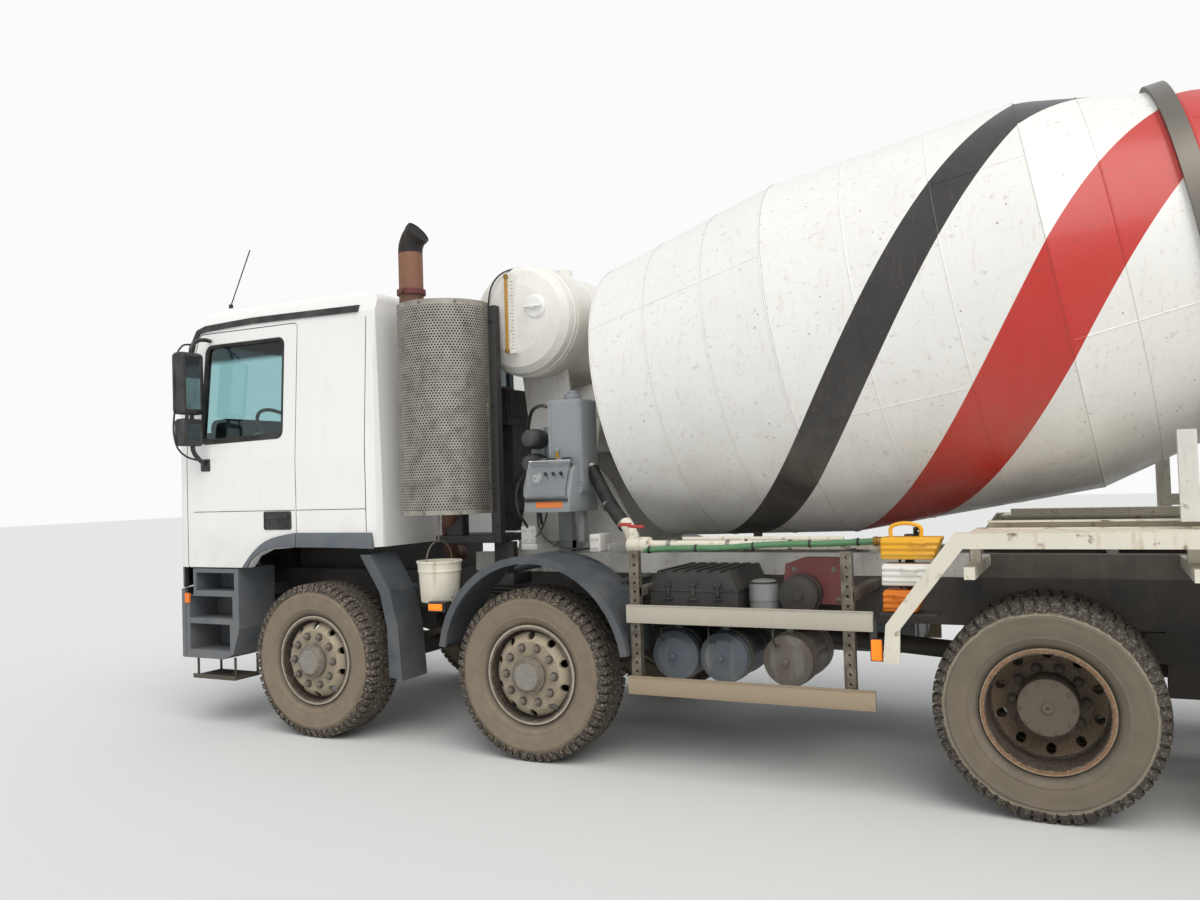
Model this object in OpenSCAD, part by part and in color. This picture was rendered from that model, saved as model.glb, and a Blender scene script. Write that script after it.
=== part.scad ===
// Concrete mixer truck with four axles: tilting cab, steered front pairs, twin rear wheels,
// a turning drum on two rollers, a hopper and a folding discharge chute.
// X points forward, Y to the driver's left and Z up. Millimetres.
// Modules draw from the first axle's centre line at x = 0; from_axle_1() puts them in place.

/* [Axles and wheels] */
// First axle to second axle
axle_2_step = 1700; // [1650:10:1800]
// Second axle to third axle
axle_3_step = 2850; // [2700:10:3000]
// Third axle to fourth axle
axle_4_step = 1350; // [1320:5:1400]
// Radius of a loaded tyre
tyre_r = 520; // [505:1:525]
// Width of a tyre at its widest
tyre_w = 312; // [300:1:316]
// Radius where a tyre sits on its rim
bead_r = 285.75; // [285.75:0.25:286.5]
// Rim width over its flanges
rim_w = 248; // [244:1:252]
// Middle of a front tyre from the centre line
front_tyre_y = 1023; // [1020:1:1030]
// Middle of an outer rear tyre from the centre line
rear_tyre_y = 1077; // [1070:1:1085]
// Outer to inner rear tyre
twin_step = 346; // [344:1:350]
// Kingpin from the centre line
kingpin_y = 870; // [860:1:876]

/* [Chassis] */
// Width over the two frame rails
frame_w = 834; // [800:2:860]
// Height of a frame rail
rail_h = 270; // [250:5:280]
// Top of the frame rails above the ground
rail_top = 1070; // [1060:5:1075]
// Wall of a frame rail
rail_wall = 9; // [7:1:12]
// Flange of a frame rail
rail_flange = 80; // [70:1:90]
// Front end of the rails from the first axle
rail_front = 1120; // [1100:5:1140]
// Rear end of the rails from the first axle
rail_rear = -6750; // [-6800:5:-6700]
// Height of the mixer's subframe on the rails
subframe_h = 130; // [110:5:135]

/* [Cab] */
// Half width of the cab at its waist
cab_half_w = 1140; // [1120:2:1150]
// Front of the cab from the first axle
cab_front = 1415; // [1405:1:1418]
// Back of the cab from the first axle
cab_back = -560; // [-570:1:-540]
// Lower edge of the cab and of its doors
cab_low = 1140; // [1130:1:1150]
// Top of the roof
cab_top = 3115; // [3080:1:3140]
// Thickness of the cab's walls and doors
cab_wall = 60; // [45:1:70]
// Front edge of a door
door_front = 1190; // [1180:1:1200]
// Rear edge of a door
door_rear = 145; // [120:1:170]
// Top edge of a door
door_top = 2845; // [2835:1:2850]
// Gap round a door
door_gap = 6; // [5:0.5:8]
// Top of the arch over the first wheel
arch_top = 1285; // [1275:1:1300]
// Thickness of window glass
glass_t = 6; // [4:0.5:8]

/* [Drum] */
// Centre of the drum's front edge from the first axle
drum_x = -2090; // [-2110:5:-2070]
// Centre of the drum's front edge above the ground
drum_z = 2220; // [2210:5:2230]
// Rise of the drum's axis towards the rear, in degrees
drum_tilt = 9.85; // [9.5:0.05:10]
// Wall of the drum
drum_wall = 10; // [6:1:14]
// Radius at the drum's front edge
drum_front_r = 942; // [930:2:950]
// Largest radius of the drum
drum_r = 1130; // [1100:5:1140]
// Radius of the drum's mouth
mouth_r = 550; // [530:5:560]
// Depth of the dished front head
head_depth = 190; // [170:5:200]
// Radius of the roller track
track_r = 985; // [980:1:995]
// Radius of a support roller
roller_r = 140; // [130:1:145]
// Rollers to each side of straight below, in degrees
roller_angle = 32; // [28:1:35]

/* [Chute] */
// Swivel post of the chute from the first axle
swivel_x = -7000; // [-7010:5:-6990]
// Height of the chute's tilting pin
chute_pin_z = 1660; // [1650:5:1670]
// Outer radius of the chute's trough
chute_r = 235; // [225:1:240]
// Wall of the chute
chute_wall = 6; // [4:1:8]
// Length of the fixed chute
chute_l = 1150; // [1000:10:1200]
// Length of the folding chute
flap_l = 720; // [600:10:760]
// Slope of the parked chute, in degrees
chute_slope = 18; // [16:1:20]

/* [Hidden] */
$fn = 48;

// Clearance between curved faces that turn on each other, and in a running bore
turn_gap = 0.3;
bore_gap = 0.05;

// Places that follow from the sizes above
axle_x = [0, -axle_2_step, -axle_2_step - axle_3_step, -axle_2_step - axle_3_step - axle_4_step];
axle_z = tyre_r;
bogie_x = (axle_x[2] + axle_x[3]) / 2;
rail_bottom = rail_top - rail_h;
subframe_top = rail_top + subframe_h;
rim_seat_w = rim_w - 20;

// Colours
white = [0.88, 0.87, 0.84];
cream = [0.80, 0.78, 0.70];
chassis_grey = [0.20, 0.20, 0.21];
plastic_grey = [0.33, 0.35, 0.37];
black = [0.08, 0.08, 0.08];
dusty = [0.42, 0.38, 0.33];
rubber = [0.16, 0.15, 0.14];
steel = [0.60, 0.60, 0.60];
amber = [0.95, 0.45, 0.05];
yellow = [0.95, 0.72, 0.05];
glass_tint = [0.35, 0.45, 0.45, 0.5];

// Unit vector, and one corner of an outline rounded with radius r in n steps
function unit(v) = v / norm(v);
function corner(a, b, c, r, n) =
  r <= 0 ? [b] :
  let (u = unit(a - b), v = unit(c - b), half = acos(u * v) / 2,
       centre = b + unit(u + v) * r / sin(half),
       start = b + u * r / tan(half) - centre, end = b + v * r / tan(half) - centre,
       a0 = atan2(start.y, start.x),
       turn = (atan2(end.y, end.x) - a0 + 540) % 360 - 180)
  [for (i = [0 : n]) centre + r * [cos(a0 + turn * i / n), sin(a0 + turn * i / n)]];

// Corner moved inwards by d; rows run anticlockwise
function moved(a, b, c, d) =
  let (e = unit(b - a), f = unit(c - b), m = [-e.y, e.x], n = [-f.y, f.x])
  b + d * (m + n) / (1 + m * n);

// Outline from rows [first, second, corner radius], moved inwards by d
function outline(rows, d = 0, n = 4) =
  let (k = len(rows), p = [for (w = rows) [w[0], w[1]]],
       q = [for (i = [0 : k - 1]) moved(p[(i + k - 1) % k], p[i], p[(i + 1) % k], d)])
  [for (i = [0 : k - 1]) each corner(q[(i + k - 1) % k], q[i], q[(i + 1) % k],
                                     rows[i][2] > 0 ? max(rows[i][2] - d, 4) : 0, n)];

// Points on an arc about centre c, from angle a to angle b
function arc(c, r, a, b, n = 8) = [for (i = [0 : n]) c + r * [cos(a + (b - a) * i / n), sin(a + (b - a) * i / n)]];

// Closed band between two radii, from angle a to angle b
function band(r0, r1, a, b, n = 20) = concat(arc([0, 0], r0, a, b, n), arc([0, 0], r1, b, a, n));

module from_axle_1() translate([axle_1_x, 0, 0]) children();
module both_sides() { children(); mirror([0, 1, 0]) children(); }
module side(s) mirror([0, s < 0 ? 1 : 0, 0]) children();
// An outline in X and Z, extruded from y0 to y1
module slab_y(y0, y1, pts) translate([0, y1, 0]) rotate([90, 0, 0]) linear_extrude(y1 - y0) polygon(pts);
// An outline in Y and Z, extruded from x0 to x1
module slab_x(x0, x1, pts) translate([x0, 0, 0]) rotate([90, 0, 90]) linear_extrude(x1 - x0) polygon(pts);
// A box between two corners
module box(a, b) translate(a) cube(b - a);
// A bar of radius r along Y
module bar_y(x, z, y0, y1, r) translate([x, y0, z]) rotate([-90, 0, 0]) cylinder(r = r, h = y1 - y0);
// The drum's own frame: its z runs up along the drum's axis, its x points up from it
module at_drum() translate([drum_x, 0, drum_z]) rotate([0, drum_tilt - 90, 0]) children();

// Frame rails and cross members

// Places of the cross tubes along the rails
cross_x = [-1300, -2560, -3330, -4000, -5225, -6450];
cross_r = 55;
tow_x = -6790;
tow_r = 25;
tow_t = 70;
tow_low = 900;
underrun_top = 590;
// Pivot that the cab tilts on, and its pins
tilt_x = 1250;
tilt_z = 1080;
tilt_y = 403;
tilt_pin_r = 20;
module rail_profile(h = rail_h, flange = rail_flange, wall = rail_wall)
  difference() {
    square([flange, h]);
    translate([-1, wall]) square([flange - wall + 1, h - 2 * wall]);
  }
module chassis_frame() from_axle_1() color(chassis_grey) {
  difference() {
    union() {
      both_sides() translate([rail_rear, frame_w / 2 - rail_flange, rail_bottom])
        rotate([90, 0, 90]) linear_extrude(rail_front - rail_rear) rail_profile();
      for (x = cross_x) bar_y(x, rail_bottom + rail_h / 2, -frame_w / 2 + 5, frame_w / 2 - 5, cross_r);
      box([rail_rear, -frame_w / 2, rail_bottom], [rail_rear + 12, frame_w / 2, rail_top]);
      box([rail_front - 12, -frame_w / 2, rail_bottom - 60], [rail_front, frame_w / 2, rail_top]);
      box([tow_x - 60, -70, tow_low], [rail_rear, 70, tow_low + tow_t]);
      // Bearing of the chute's post
      translate([swivel_x, 0, 1010]) cylinder(r = 85, h = 300);
      box([swivel_x + 60, -60, 1060], [rail_rear + 10, 60, rail_top - 1]);
      // Brackets and pins that the cab tilts on
      both_sides() {
        slab_y(tilt_y - 28, tilt_y, [[rail_front - 10, 880], [rail_front + 80, 880], [tilt_x + 35, tilt_z - 30],
          [tilt_x + 35, tilt_z + 35], [tilt_x - 35, tilt_z + 35], [rail_front - 10, 1000]]);
        bar_y(tilt_x, tilt_z, tilt_y - 29, tilt_y + 40, tilt_pin_r);
      }
      // Underrun bar and its two brackets
      both_sides() box([-6840, 330, 480], [-6800, 350, rail_bottom + 40]);
      both_sides() box([-6830, 330, rail_bottom], [rail_rear + 10, 350, rail_bottom + 40]);
      box([-6900, -1150, underrun_top - 120], [-6820, 1150, underrun_top]);
    }
    translate([tow_x, 0, tow_low - 1]) cylinder(r = tow_r, h = tow_t + 2);
    translate([swivel_x, 0, 0]) cylinder(r = post_r + bore_gap, h = 2000);
  }
}

// The mixer's own frame on top of the rails, with the perforated rail for hoses
module mixer_subframe() from_axle_1() color(white) {
  both_sides() {
    difference() {
      box([-6750, frame_w / 2 - 90, rail_top], [-850, frame_w / 2, subframe_top]);
      box([-6751, frame_w / 2 - 100, rail_top + 10], [-849, frame_w / 2 - 10, subframe_top - 10]);
    }
  }
  for (x = [-900, -2300, -3600, -4900, -6740])
    box([x, -frame_w / 2 + 10, rail_top + 10], [x + 60, frame_w / 2 - 10, subframe_top - 10]);
}

// Engine and gearbox as one plain block, with the radiator ahead of it
module engine() from_axle_1() color([0.3, 0.3, 0.3]) {
  box([-420, -325, 640], [880, 325, 1340]);
  box([-1150, -230, 600], [-420, 230, 1060]);
  // Mounts against the webs of the rails
  both_sides() {
    for (x = [-330, 700]) box([x, 324, 900], [x + 90, frame_w / 2 - rail_wall, 990]);
    box([1000, 329, 900], [1060, frame_w / 2 - rail_wall, 960]);
  }
  box([960, -330, 700], [1090, 330, 1360]);
}

// Axles, their springs and the shafts that drive them

beam_eye_r = 48;
pin_r = 25;
spindle_r = 45;
spring_y = frame_w / 2 - 42;
spring_half = 760;
spring_rise = 180;
leaf_t = 20;
leaf_step = 170;
brake_r = 205;
beam_half = [[0, axle_z - 150], [520, axle_z - 150], [700, axle_z - 58], [kingpin_y, axle_z - 58],
  [kingpin_y, axle_z + 48], [660, axle_z + 48], [480, axle_z - 52], [0, axle_z - 52]];
module front_beam(x) translate([x, 0, 0]) {
  difference() {
    union() {
      slab_x(-42, 42, concat(beam_half, [for (k = [6 : -1 : 1]) [-beam_half[k].x, beam_half[k].y]]));
      both_sides() translate([0, kingpin_y, axle_z - 62]) cylinder(r = beam_eye_r, h = 114);
    }
    both_sides() translate([0, kingpin_y, 0]) cylinder(r = pin_r + bore_gap, h = 2000);
  }
  both_sides() {
    slab_y(spring_y - 40, spring_y + 40, spring_pack(spring_half, 3, axle_z - 20));
    for (s = [-1, 1]) box([s * (spring_half - 30) - 40, spring_y - 39, axle_z + 130],
                          [s * (spring_half - 30) + 40, spring_y + 41, rail_bottom]);
    box([-90, spring_y - 44, axle_z - 60], [90, spring_y + 44, axle_z + 55]);
  }
}
// Side outline of a pack of n leaves, the longest on top, its ends risen
function spring_pack(half, n, z) =
  let (end = function(i) half - leaf_step * i, lift = function(x) spring_rise * max(x - 100, 0) / half,
       right = [for (i = [n - 1 : -1 : 0]) let (w = z + leaf_t * (n - 1 - i))
         each [[end(i), w + lift(end(i))], [end(i), w + leaf_t + lift(end(i))]]],
       row = concat([[100, z]], right, [[100, z + leaf_t * n]]))
  concat(row, [for (k = [len(row) - 1 : -1 : 0]) [-row[k].x, row[k].y]]);
bogie_half = axle_4_step / 2 + 70;
bogie_leaves = 5;
// The bogie's pack lies on the axles: longest leaf lowest, the rest stepped on top of it
function bogie_pack(z) =
  let (right = [for (i = [0 : bogie_leaves - 1])
         each [[bogie_half - 130 * i, z + 32 * i], [bogie_half - 130 * i, z + 32 * (i + 1)]]])
  concat(right, [for (k = [len(right) - 1 : -1 : 0]) [-right[k].x, right[k].y]]);
// Section of a drive axle about its own centre line: [radius, distance from the middle]
drive_half = [[210, 0], [205, 70], [180, 130], [130, 190], [78, 240], [78, 595], [brake_r, 600],
  [brake_r, 850], [spindle_r, 850], [spindle_r, 985], [0, 985]];
module drive_axle(x) translate([x, 0, axle_z]) {
  rotate([-90, 0, 0]) rotate_extrude()
    polygon(concat([for (k = [10 : -1 : 1]) [drive_half[k].x, -drive_half[k].y]], drive_half));
  both_sides() box([-80, spring_y - 46, 20], [80, spring_y + 46, 115]);
}
module axles() from_axle_1() color(chassis_grey) {
  for (i = [0, 1]) front_beam(axle_x[i]);
  for (i = [2, 3]) drive_axle(axle_x[i]);
  both_sides() translate([bogie_x, 0, 0]) {
    slab_y(spring_y - 44, spring_y + 44, bogie_pack(axle_z + 114));
    box([-130, spring_y - 50, axle_z - 60], [130, spring_y + 42, rail_bottom]);
  }
  // Propeller shafts from the gearbox to the two differentials
  between([-1158, 0, 800], [axle_x[2] + 150, 0, axle_z + 40], 55);
  between([axle_x[2] - 150, 0, axle_z + 20], [axle_x[3] + 150, 0, axle_z + 20], 50);
}
// A round bar between two points
module between(a, b, r) {
  v = b - a;
  translate(a) rotate([0, acos(v.z / norm(v)), atan2(v.y, v.x)]) cylinder(r = r, h = norm(v));
}

// Knuckles of the two steered axles

ear_gap = 5;
module knuckle(i, s) from_axle_1() color(chassis_grey) side(s) translate([axle_x[i], 0, axle_z]) {
  for (m = [0, 1]) mirror([0, 0, m]) translate([0, kingpin_y, (m == 1 ? 62 : 52) + ear_gap]) cylinder(r = 46, h = 40);
  translate([0, kingpin_y, -105]) cylinder(r = pin_r, h = 200);
  box([-46, kingpin_y + beam_eye_r + 6, -107], [46, kingpin_y + 100, 97]);
  for (z = [-107, 57]) box([-46, kingpin_y, z], [46, kingpin_y + 100, z + 40]);
  bar_y(0, 0, kingpin_y + 95, kingpin_y + 150, brake_r);
  bar_y(0, 0, kingpin_y + 145, kingpin_y + 260, spindle_r);
}

// Wheels: rims with their discs and hubs, and tyres

stud_r = 167.5;
stud_count = 10;
// Rim barrel about Z, its middle at z = 0, and its drop centre
barrel = [[272, -rim_w / 2], [298, -rim_w / 2], [298, -rim_seat_w / 2], [bead_r, -rim_seat_w / 2 + 6],
  [bead_r, rim_seat_w / 2 - 6], [298, rim_seat_w / 2], [298, rim_w / 2], [272, rim_w / 2]];
front_disc = [[275, 40], [275, 58], [215, 116], [200, 126], [spindle_r + bore_gap, 126],
  [spindle_r + bore_gap, 100], [198, 100], [212, 92]];
// Section of a pair of twin rims with their discs and hub: [radius, distance outwards]
disc_z = -twin_step / 2;
inner_half = [[198, 23], [212, 33], [272, 83], [272, 297], [298, 297], [298, 287], [bead_r, 281],
  [bead_r, 65], [298, 59], [298, 49], [272, 49], [215, 13], [200, 2]];
twin_section = concat(
  [[0, 36], [0, -85], [spindle_r + bore_gap, -85], [spindle_r + bore_gap, disc_z - 23]],
  [for (p = inner_half) [p.x, disc_z - p.y]],
  [for (k = [len(inner_half) - 1 : -1 : 0]) [inner_half[k].x, disc_z + inner_half[k].y]],
  [[140, disc_z + 23], [140, -60], [122, 20], [100, 36]]);
module wheel_holes(z0, z1) for (i = [0 : stud_count - 1])
  rotate([0, 0, 36 * i + 18]) translate([232, 0, z0]) cylinder(r = 24, h = z1 - z0);
module wheel_nuts(z) for (i = [0 : stud_count - 1])
  rotate([0, 0, 36 * i]) translate([stud_r, 0, z]) cylinder(r = 17, h = 34);
module front_rim(i, s) from_axle_1() color(dusty) side(s)
  translate([axle_x[i], front_tyre_y, axle_z]) rotate([-90, 0, 0]) {
    rotate_extrude() polygon(barrel);
    difference() {
      rotate_extrude() polygon(front_disc);
      wheel_holes(30, 160);
    }
    wheel_nuts(120);
    rotate_extrude() polygon([[0, 120], [110, 120], [110, 150], [86, 178], [0, 178]]);
  }
module twin_rims(i, s) from_axle_1() color(dusty) side(s)
  translate([axle_x[i], rear_tyre_y, axle_z]) rotate([-90, 0, 0]) {
    difference() {
      rotate_extrude() polygon(twin_section);
      wheel_holes(disc_z - 120, disc_z + 120);
    }
    wheel_nuts(disc_z + 20);
  }
// Half of a tyre's section: [radius, distance from the middle]
tyre_half = [[bead_r + 0.2, 0], [bead_r + 0.2, rim_seat_w / 2 - 8], [300, rim_seat_w / 2 - 2],
  [330, 136], [375, tyre_w / 2 - 2], [410, tyre_w / 2], [455, tyre_w / 2 - 5], [495, 142], [510, 132],
  [tyre_r - 3, 122], [tyre_r - 3, 96], [tyre_r - 12, 92], [tyre_r - 12, 84], [tyre_r, 80], [tyre_r, 36],
  [tyre_r - 12, 32], [tyre_r - 12, 24], [tyre_r, 20], [tyre_r, 0]];
module tyre_at(z) translate([0, 0, z]) rotate_extrude()
  polygon(concat([for (p = tyre_half) p], [for (k = [len(tyre_half) - 2 : -1 : 1]) [tyre_half[k].x, -tyre_half[k].y]]));
module front_tyre(i, s) from_axle_1() color(rubber) side(s)
  translate([axle_x[i], front_tyre_y, axle_z]) rotate([-90, 0, 0]) tyre_at(0);
module twin_tyres(i, s) from_axle_1() color(rubber) side(s)
  translate([axle_x[i], rear_tyre_y, axle_z]) rotate([-90, 0, 0]) { tyre_at(0); tyre_at(-twin_step); }

// Bumper with the entry steps

bumper_front = 1450;
bumper_top = 975;
bumper_low = 480;
bumper_t = 25;
// Lower inner and upper outer corner of a headlamp, in Y and Z
lamp_low = [560, 620];
lamp_high = [960, 860];
bumper_plan = [[700, -1145, 0], [1290, -1145, 110], [1405, -930, 200], [bumper_front, -450, 500],
  [bumper_front, 450, 500], [1405, 930, 200], [1290, 1145, 110], [700, 1145, 0]];
// The step well under a door: [x, z] of its side
step_side = [[700, 700], [760, 520], [860, 480], [1230, 480], [1230, 935], [1148, 935],
  [1148, 1130], [700, 1130]];
module bumper() from_axle_1() color(plastic_grey) {
  difference() {
    translate([0, 0, bumper_low]) linear_extrude(bumper_top - bumper_low) polygon(outline(bumper_plan));
    translate([0, 0, bumper_low - 1]) linear_extrude(1000) polygon(outline(bumper_plan, bumper_t));
    box([600, -2000, 0], [1231, 2000, 2000]);
    // Lamp recesses, and the air slot
    both_sides() box([1300, lamp_low.x, lamp_low.y], [1600, lamp_high.x, lamp_high.y]);
    box([1300, -420, 560], [1600, 420, 660]);
  }
  both_sides() {
    difference() {
      slab_y(790, cab_half_w, step_side);
      box([790, 850, 540], [1190, 1200, 730]);
      box([760, 880, 770], [1190, 1200, 930]);
      box([740, 910, 970], [1120, 1200, 1100]);
    }
    box([rail_front - 200, frame_w / 2, 880], [rail_front - 120, 790, 960]);
    box([1100, 420, 700], [1200, 791, 760]);
    box([1100, 420, 640], [1425, 520, 700]);
  }
}

// Lamps: headlamps, side markers, rear clusters
module lamps() from_axle_1() color([0.85, 0.85, 0.8]) {
  both_sides() {
    intersection() {
      box([1300, lamp_low.x, lamp_low.y], [1600, lamp_high.x, lamp_high.y]);
      difference() {
        linear_extrude(1000) polygon(outline(bumper_plan, 3));
        linear_extrude(1000) polygon(outline(bumper_plan, 22));
      }
    }
    box([1180, cab_half_w, 880], [1225, cab_half_w + 14, 950]);
    box([-6925, 640, underrun_top], [-6845, 1100, underrun_top + 160]);
  }
}

// Mudguards of the two front axles, and the legs of the first wheel's arch

guard_t = 10;
guard_2 = [-35, 65];
guard_2_r = 655;
// Height of the second arch's inner face at dx from its centre
function guard_height(dx) = axle_z + guard_2.y + sqrt(pow(guard_2_r - guard_t, 2) - dx * dx);
guard_1_in = [[-400, 1235], [-560, 985], [-612, 760], [-622, 440]];
module front_mudguards() from_axle_1() color(plastic_grey) both_sides() {
  // Behind the first wheel
  slab_y(860, 1130, concat(guard_1_in, [[-725, 420], [-700, 760], [-640, 1000], [-490, 1235]]));
  // Arch over the second wheel, with its outer lip
  translate([axle_x[1] + guard_2.x, 0, axle_z + guard_2.y]) {
    slab_y(800, 1200, band(guard_2_r, guard_2_r - guard_t, 8, 172));
    slab_y(1200, 1220, band(guard_2_r, guard_2_r - 45, 8, 172));
  }
  // Brackets to the frame
  between([-620, frame_w / 2, 1000], [-620, 870, 1000], 20);
  for (dx = [-445, 365]) translate([axle_x[1] + guard_2.x + dx, 0, guard_height(dx)])
    between([0, frame_w / 2, 0], [0, 870, 0], 20);
}

// Rear mudguards: one long flat top with a slanted front leg on each side
rear_guard_top = 1365;
rear_guard = [[-4170, rear_guard_top], [-3830, 910], [-3812, 720], [-3893, 720], [-3900, 890],
  [-4210, 1290], [-6440, 1290], [-6590, 1050], [-6660, 1050], [-6490, rear_guard_top]];
rear_guard_in = [[-4170, rear_guard_top - 15], [-3844, 908], [-3826, 700], [-3893, 600], [-3900, 890],
  [-4210, 1200], [-6440, 1200], [-6590, 900], [-6646, 1040], [-6480, rear_guard_top - 15]];
module rear_mudguards() from_axle_1() color(cream) both_sides() {
  difference() {
    slab_y(1140, 1250, rear_guard);
    slab_y(1100, 1238, rear_guard_in);
  }
  slab_y(leg_y + 10, 1141, [[-4230, rear_guard_top - 15], [-4230, rear_guard_top], [-6490, rear_guard_top],
    [-6660, 1050], [-6646, 1046], [-6480, rear_guard_top - 15]]);
  for (x = [-4260, -5225, -6150]) {
    box([x, frame_w / 2, subframe_top - 60], [x + 50, 1235, subframe_top]);
    box([x, 870, subframe_top], [x + 50, 930, 1350]);
  }
}

// Side guards: two rails and two posts on each side
rail_y = 1215;
module side_guards() from_axle_1() color(steel) both_sides() {
  for (z = [467, 868]) box([-3760, rail_y - 30, z], [-2383, rail_y, z + 99]);
  for (x = [-2455, -3660]) {
    box([x, rail_y - 75, 500], [x + 60, rail_y - 30, 1270]);
    box([x, frame_w / 2, 1010], [x + 60, rail_y - 75, 1060]);
  }
}

// Air tanks on the left, fuel tank on the right
air_tank_x = [-2573, -2866, -3241];
module tanks() from_axle_1() color([0.30, 0.33, 0.35]) {
  for (x = air_tank_x) {
    translate([x, 0, 650]) rotate([-90, 0, 0]) rotate_extrude()
      polygon([[0, 440], [100, 450], [140, 475], [146, 500], [146, 930], [140, 960], [100, 985], [0, 1000]]);
    box([x - 20, frame_w / 2, 790], [x + 20, 900, 830]);
  }
  difference() {
    translate([0, -430, 0]) slab_y(-660, 0, outline([[-3700, 480, 90], [-2450, 480, 90], [-2450, 1010, 90], [-3700, 1010, 90]]));
    translate([-3500, -760, 900]) cylinder(r = 35, h = 400);
  }
}

// Battery box with its lid, and the valves and dryer beside it
module battery_box() from_axle_1() color(black) {
  difference() {
    slab_y(500, 1060, [[-3000, 840], [-2470, 840], [-2470, 1040], [-2520, 1150], [-2950, 1150], [-3000, 1040]]);
    for (i = [0 : 5]) box([-2930 + 72 * i, 480, 1140], [-2930 + 72 * i + 30, 1080, 1160]);
  }
  box([-2900, frame_w / 2, 850], [-2560, 501, 900]);
  translate([-3110, 930, 855]) cylinder(r = 80, h = 230);
  translate([-3330, 900, 1020]) rotate([-90, 0, 0]) cylinder(r = 105, h = 130);
  box([-3400, frame_w / 2, 900], [-3040, 900, 960]);
  slab_y(820, 900, [[-3560, 960], [-3200, 960], [-3230, 1180], [-3330, 1215], [-3520, 1215], [-3560, 1120]]);
}

// Exhaust: silencer and stack, and the guard round them
guard_c = [-935, 850];
guard_r = 315;
guard_low = 1490;
guard_high = 2880;
guard_back = 800;
module exhaust_guard() from_axle_1() color(steel) {
  difference() {
    translate([guard_c.x, guard_c.y, guard_low]) cylinder(r = guard_r, h = guard_high - guard_low);
    translate([guard_c.x, guard_c.y, guard_low + 4]) cylinder(r = guard_r - 5, h = guard_high - guard_low - 8);
    box([-1400, 400, guard_low - 1], [-400, guard_back, guard_high + 1]);
    translate([stack.x, stack.y, guard_high - 100]) cylinder(r = stack_r + 10, h = 200);
  }
}
// Stack above the silencer, and its radius
stack = [-760, 975];
stack_r = 80;
silencer_r = 185;
module exhaust_stack() from_axle_1() color([0.35, 0.24, 0.18]) {
  translate([guard_c.x, guard_c.y + 50, guard_low + 40]) cylinder(r = silencer_r, h = 1230);
  translate([stack.x, stack.y, 2700]) cylinder(r = stack_r, h = 560);
  translate([stack.x, stack.y, 3230]) rotate([0, 15, 0]) cylinder(r = stack_r + 6, h = 130);
  // Post behind the silencer and its feet on the frame
  box([-1300, 740, 1290], [-1230, guard_back, 2860]);
  box([-1250, frame_w / 2, 1290], [-780, guard_back, 1340]);
  box([-1000, 720, 1340], [-870, guard_back, guard_low + 40]);
  box([-1300, 590, 1075], [-1150, 650, 1290]);
  box([-1300, frame_w / 2, 1000], [-1150, 650, 1075]);
}

// Air intake behind the cab
module air_intake() from_axle_1() color(black) {
  for (i = [0 : 6]) translate([-1010 - 18 * i, 200, 2240 - 4 * i]) cube([14, 380, 250], center = true);
  box([-1130, 40, 2150], [-1010, 360, 2330]);
  box([-1120, 80, 1345], [-960, 320, 2160]);
  box([-1005, 100, 2200], [-930, 300, 2380]);
  // Foot on the front pedestal's plate
  box([-1240, 280, 1500], [-1119, pedestal_in, 1560]);
}

// Water tank across the truck, with its filler and gauge
tank_x = -1400;
tank_z = 2775;
tank_r = 375;
tank_half = 560;
dish = 160;
filler_r = 50;
filler_l = 60;
dish_half = [[tank_r, 0], [tank_r - 12, 62], [tank_r * 0.86, 105], [tank_r * 0.6, 138], [tank_r * 0.3, 155], [0, dish]];
module water_tank() from_axle_1() color(white) {
  translate([tank_x, 0, tank_z]) difference() {
    union() {
      rotate([-90, 0, 0]) rotate_extrude() polygon(concat(
        [for (k = [5 : -1 : 0]) [dish_half[k].x, -tank_half - dish_half[k].y]],
        [for (p = dish_half) [p.x, tank_half + p.y]]));
      translate([0, 0, tank_r - 40]) cylinder(r = filler_r + 10, h = 100);
    }
    translate([0, 0, tank_r]) cylinder(r = filler_r, h = 200);
  }
  // Gauge board on the left end
  box([tank_x - 10, 690, 2540], [tank_x + 70, 725, 3070]);
}

// Control box with its hoses
module controls_and_hoses() from_axle_1() color([0.55, 0.57, 0.58]) {
  box([-1800, 640, 1560], [-1480, 860, 2200]);
  box([-1700, frame_w / 2, subframe_top - 90], [-1600, 560, subframe_top - 10]);
  box([-1700, 500, subframe_top - 90], [-1600, 560, 1500]);
  box([-1700, 500, 1500], [-1600, 700, 1560]);
}

// Front pedestal with the drum's gearbox and the water tank's cradle
gearbox_s = -250;
saddle_z = 2520;
pedestal_in = 330;
module front_pedestal() from_axle_1() color(white) {
  difference() {
    union() {
      both_sides() slab_y(pedestal_in, pedestal_in + 20, [[-2150, subframe_top], [-1150, subframe_top], [-1300, 1900],
        [tank_x + 180, saddle_z], [tank_x - 180, saddle_z], [-1640, 1950], [-1900, 1650]]);
      box([-1750, -331, 1880], [-1360, 331, 1900]);
      box([-2100, -331, 1230], [-1200, 331, 1250]);
      slab_y(-250, 250, [[-1750, 1899], [-1400, 1899], [-1440, 2140], [-1780, 2090]]);
      at_drum() {
        translate([0, 0, gearbox_s - 420]) cylinder(r = 235, h = 340);
        translate([0, 0, gearbox_s - 90]) cylinder(r = 170, h = 90 - turn_gap);
      }
    }
    bar_y(tank_x, tank_z, -500, 500, tank_r + turn_gap);
  }
}

// Drum

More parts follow.
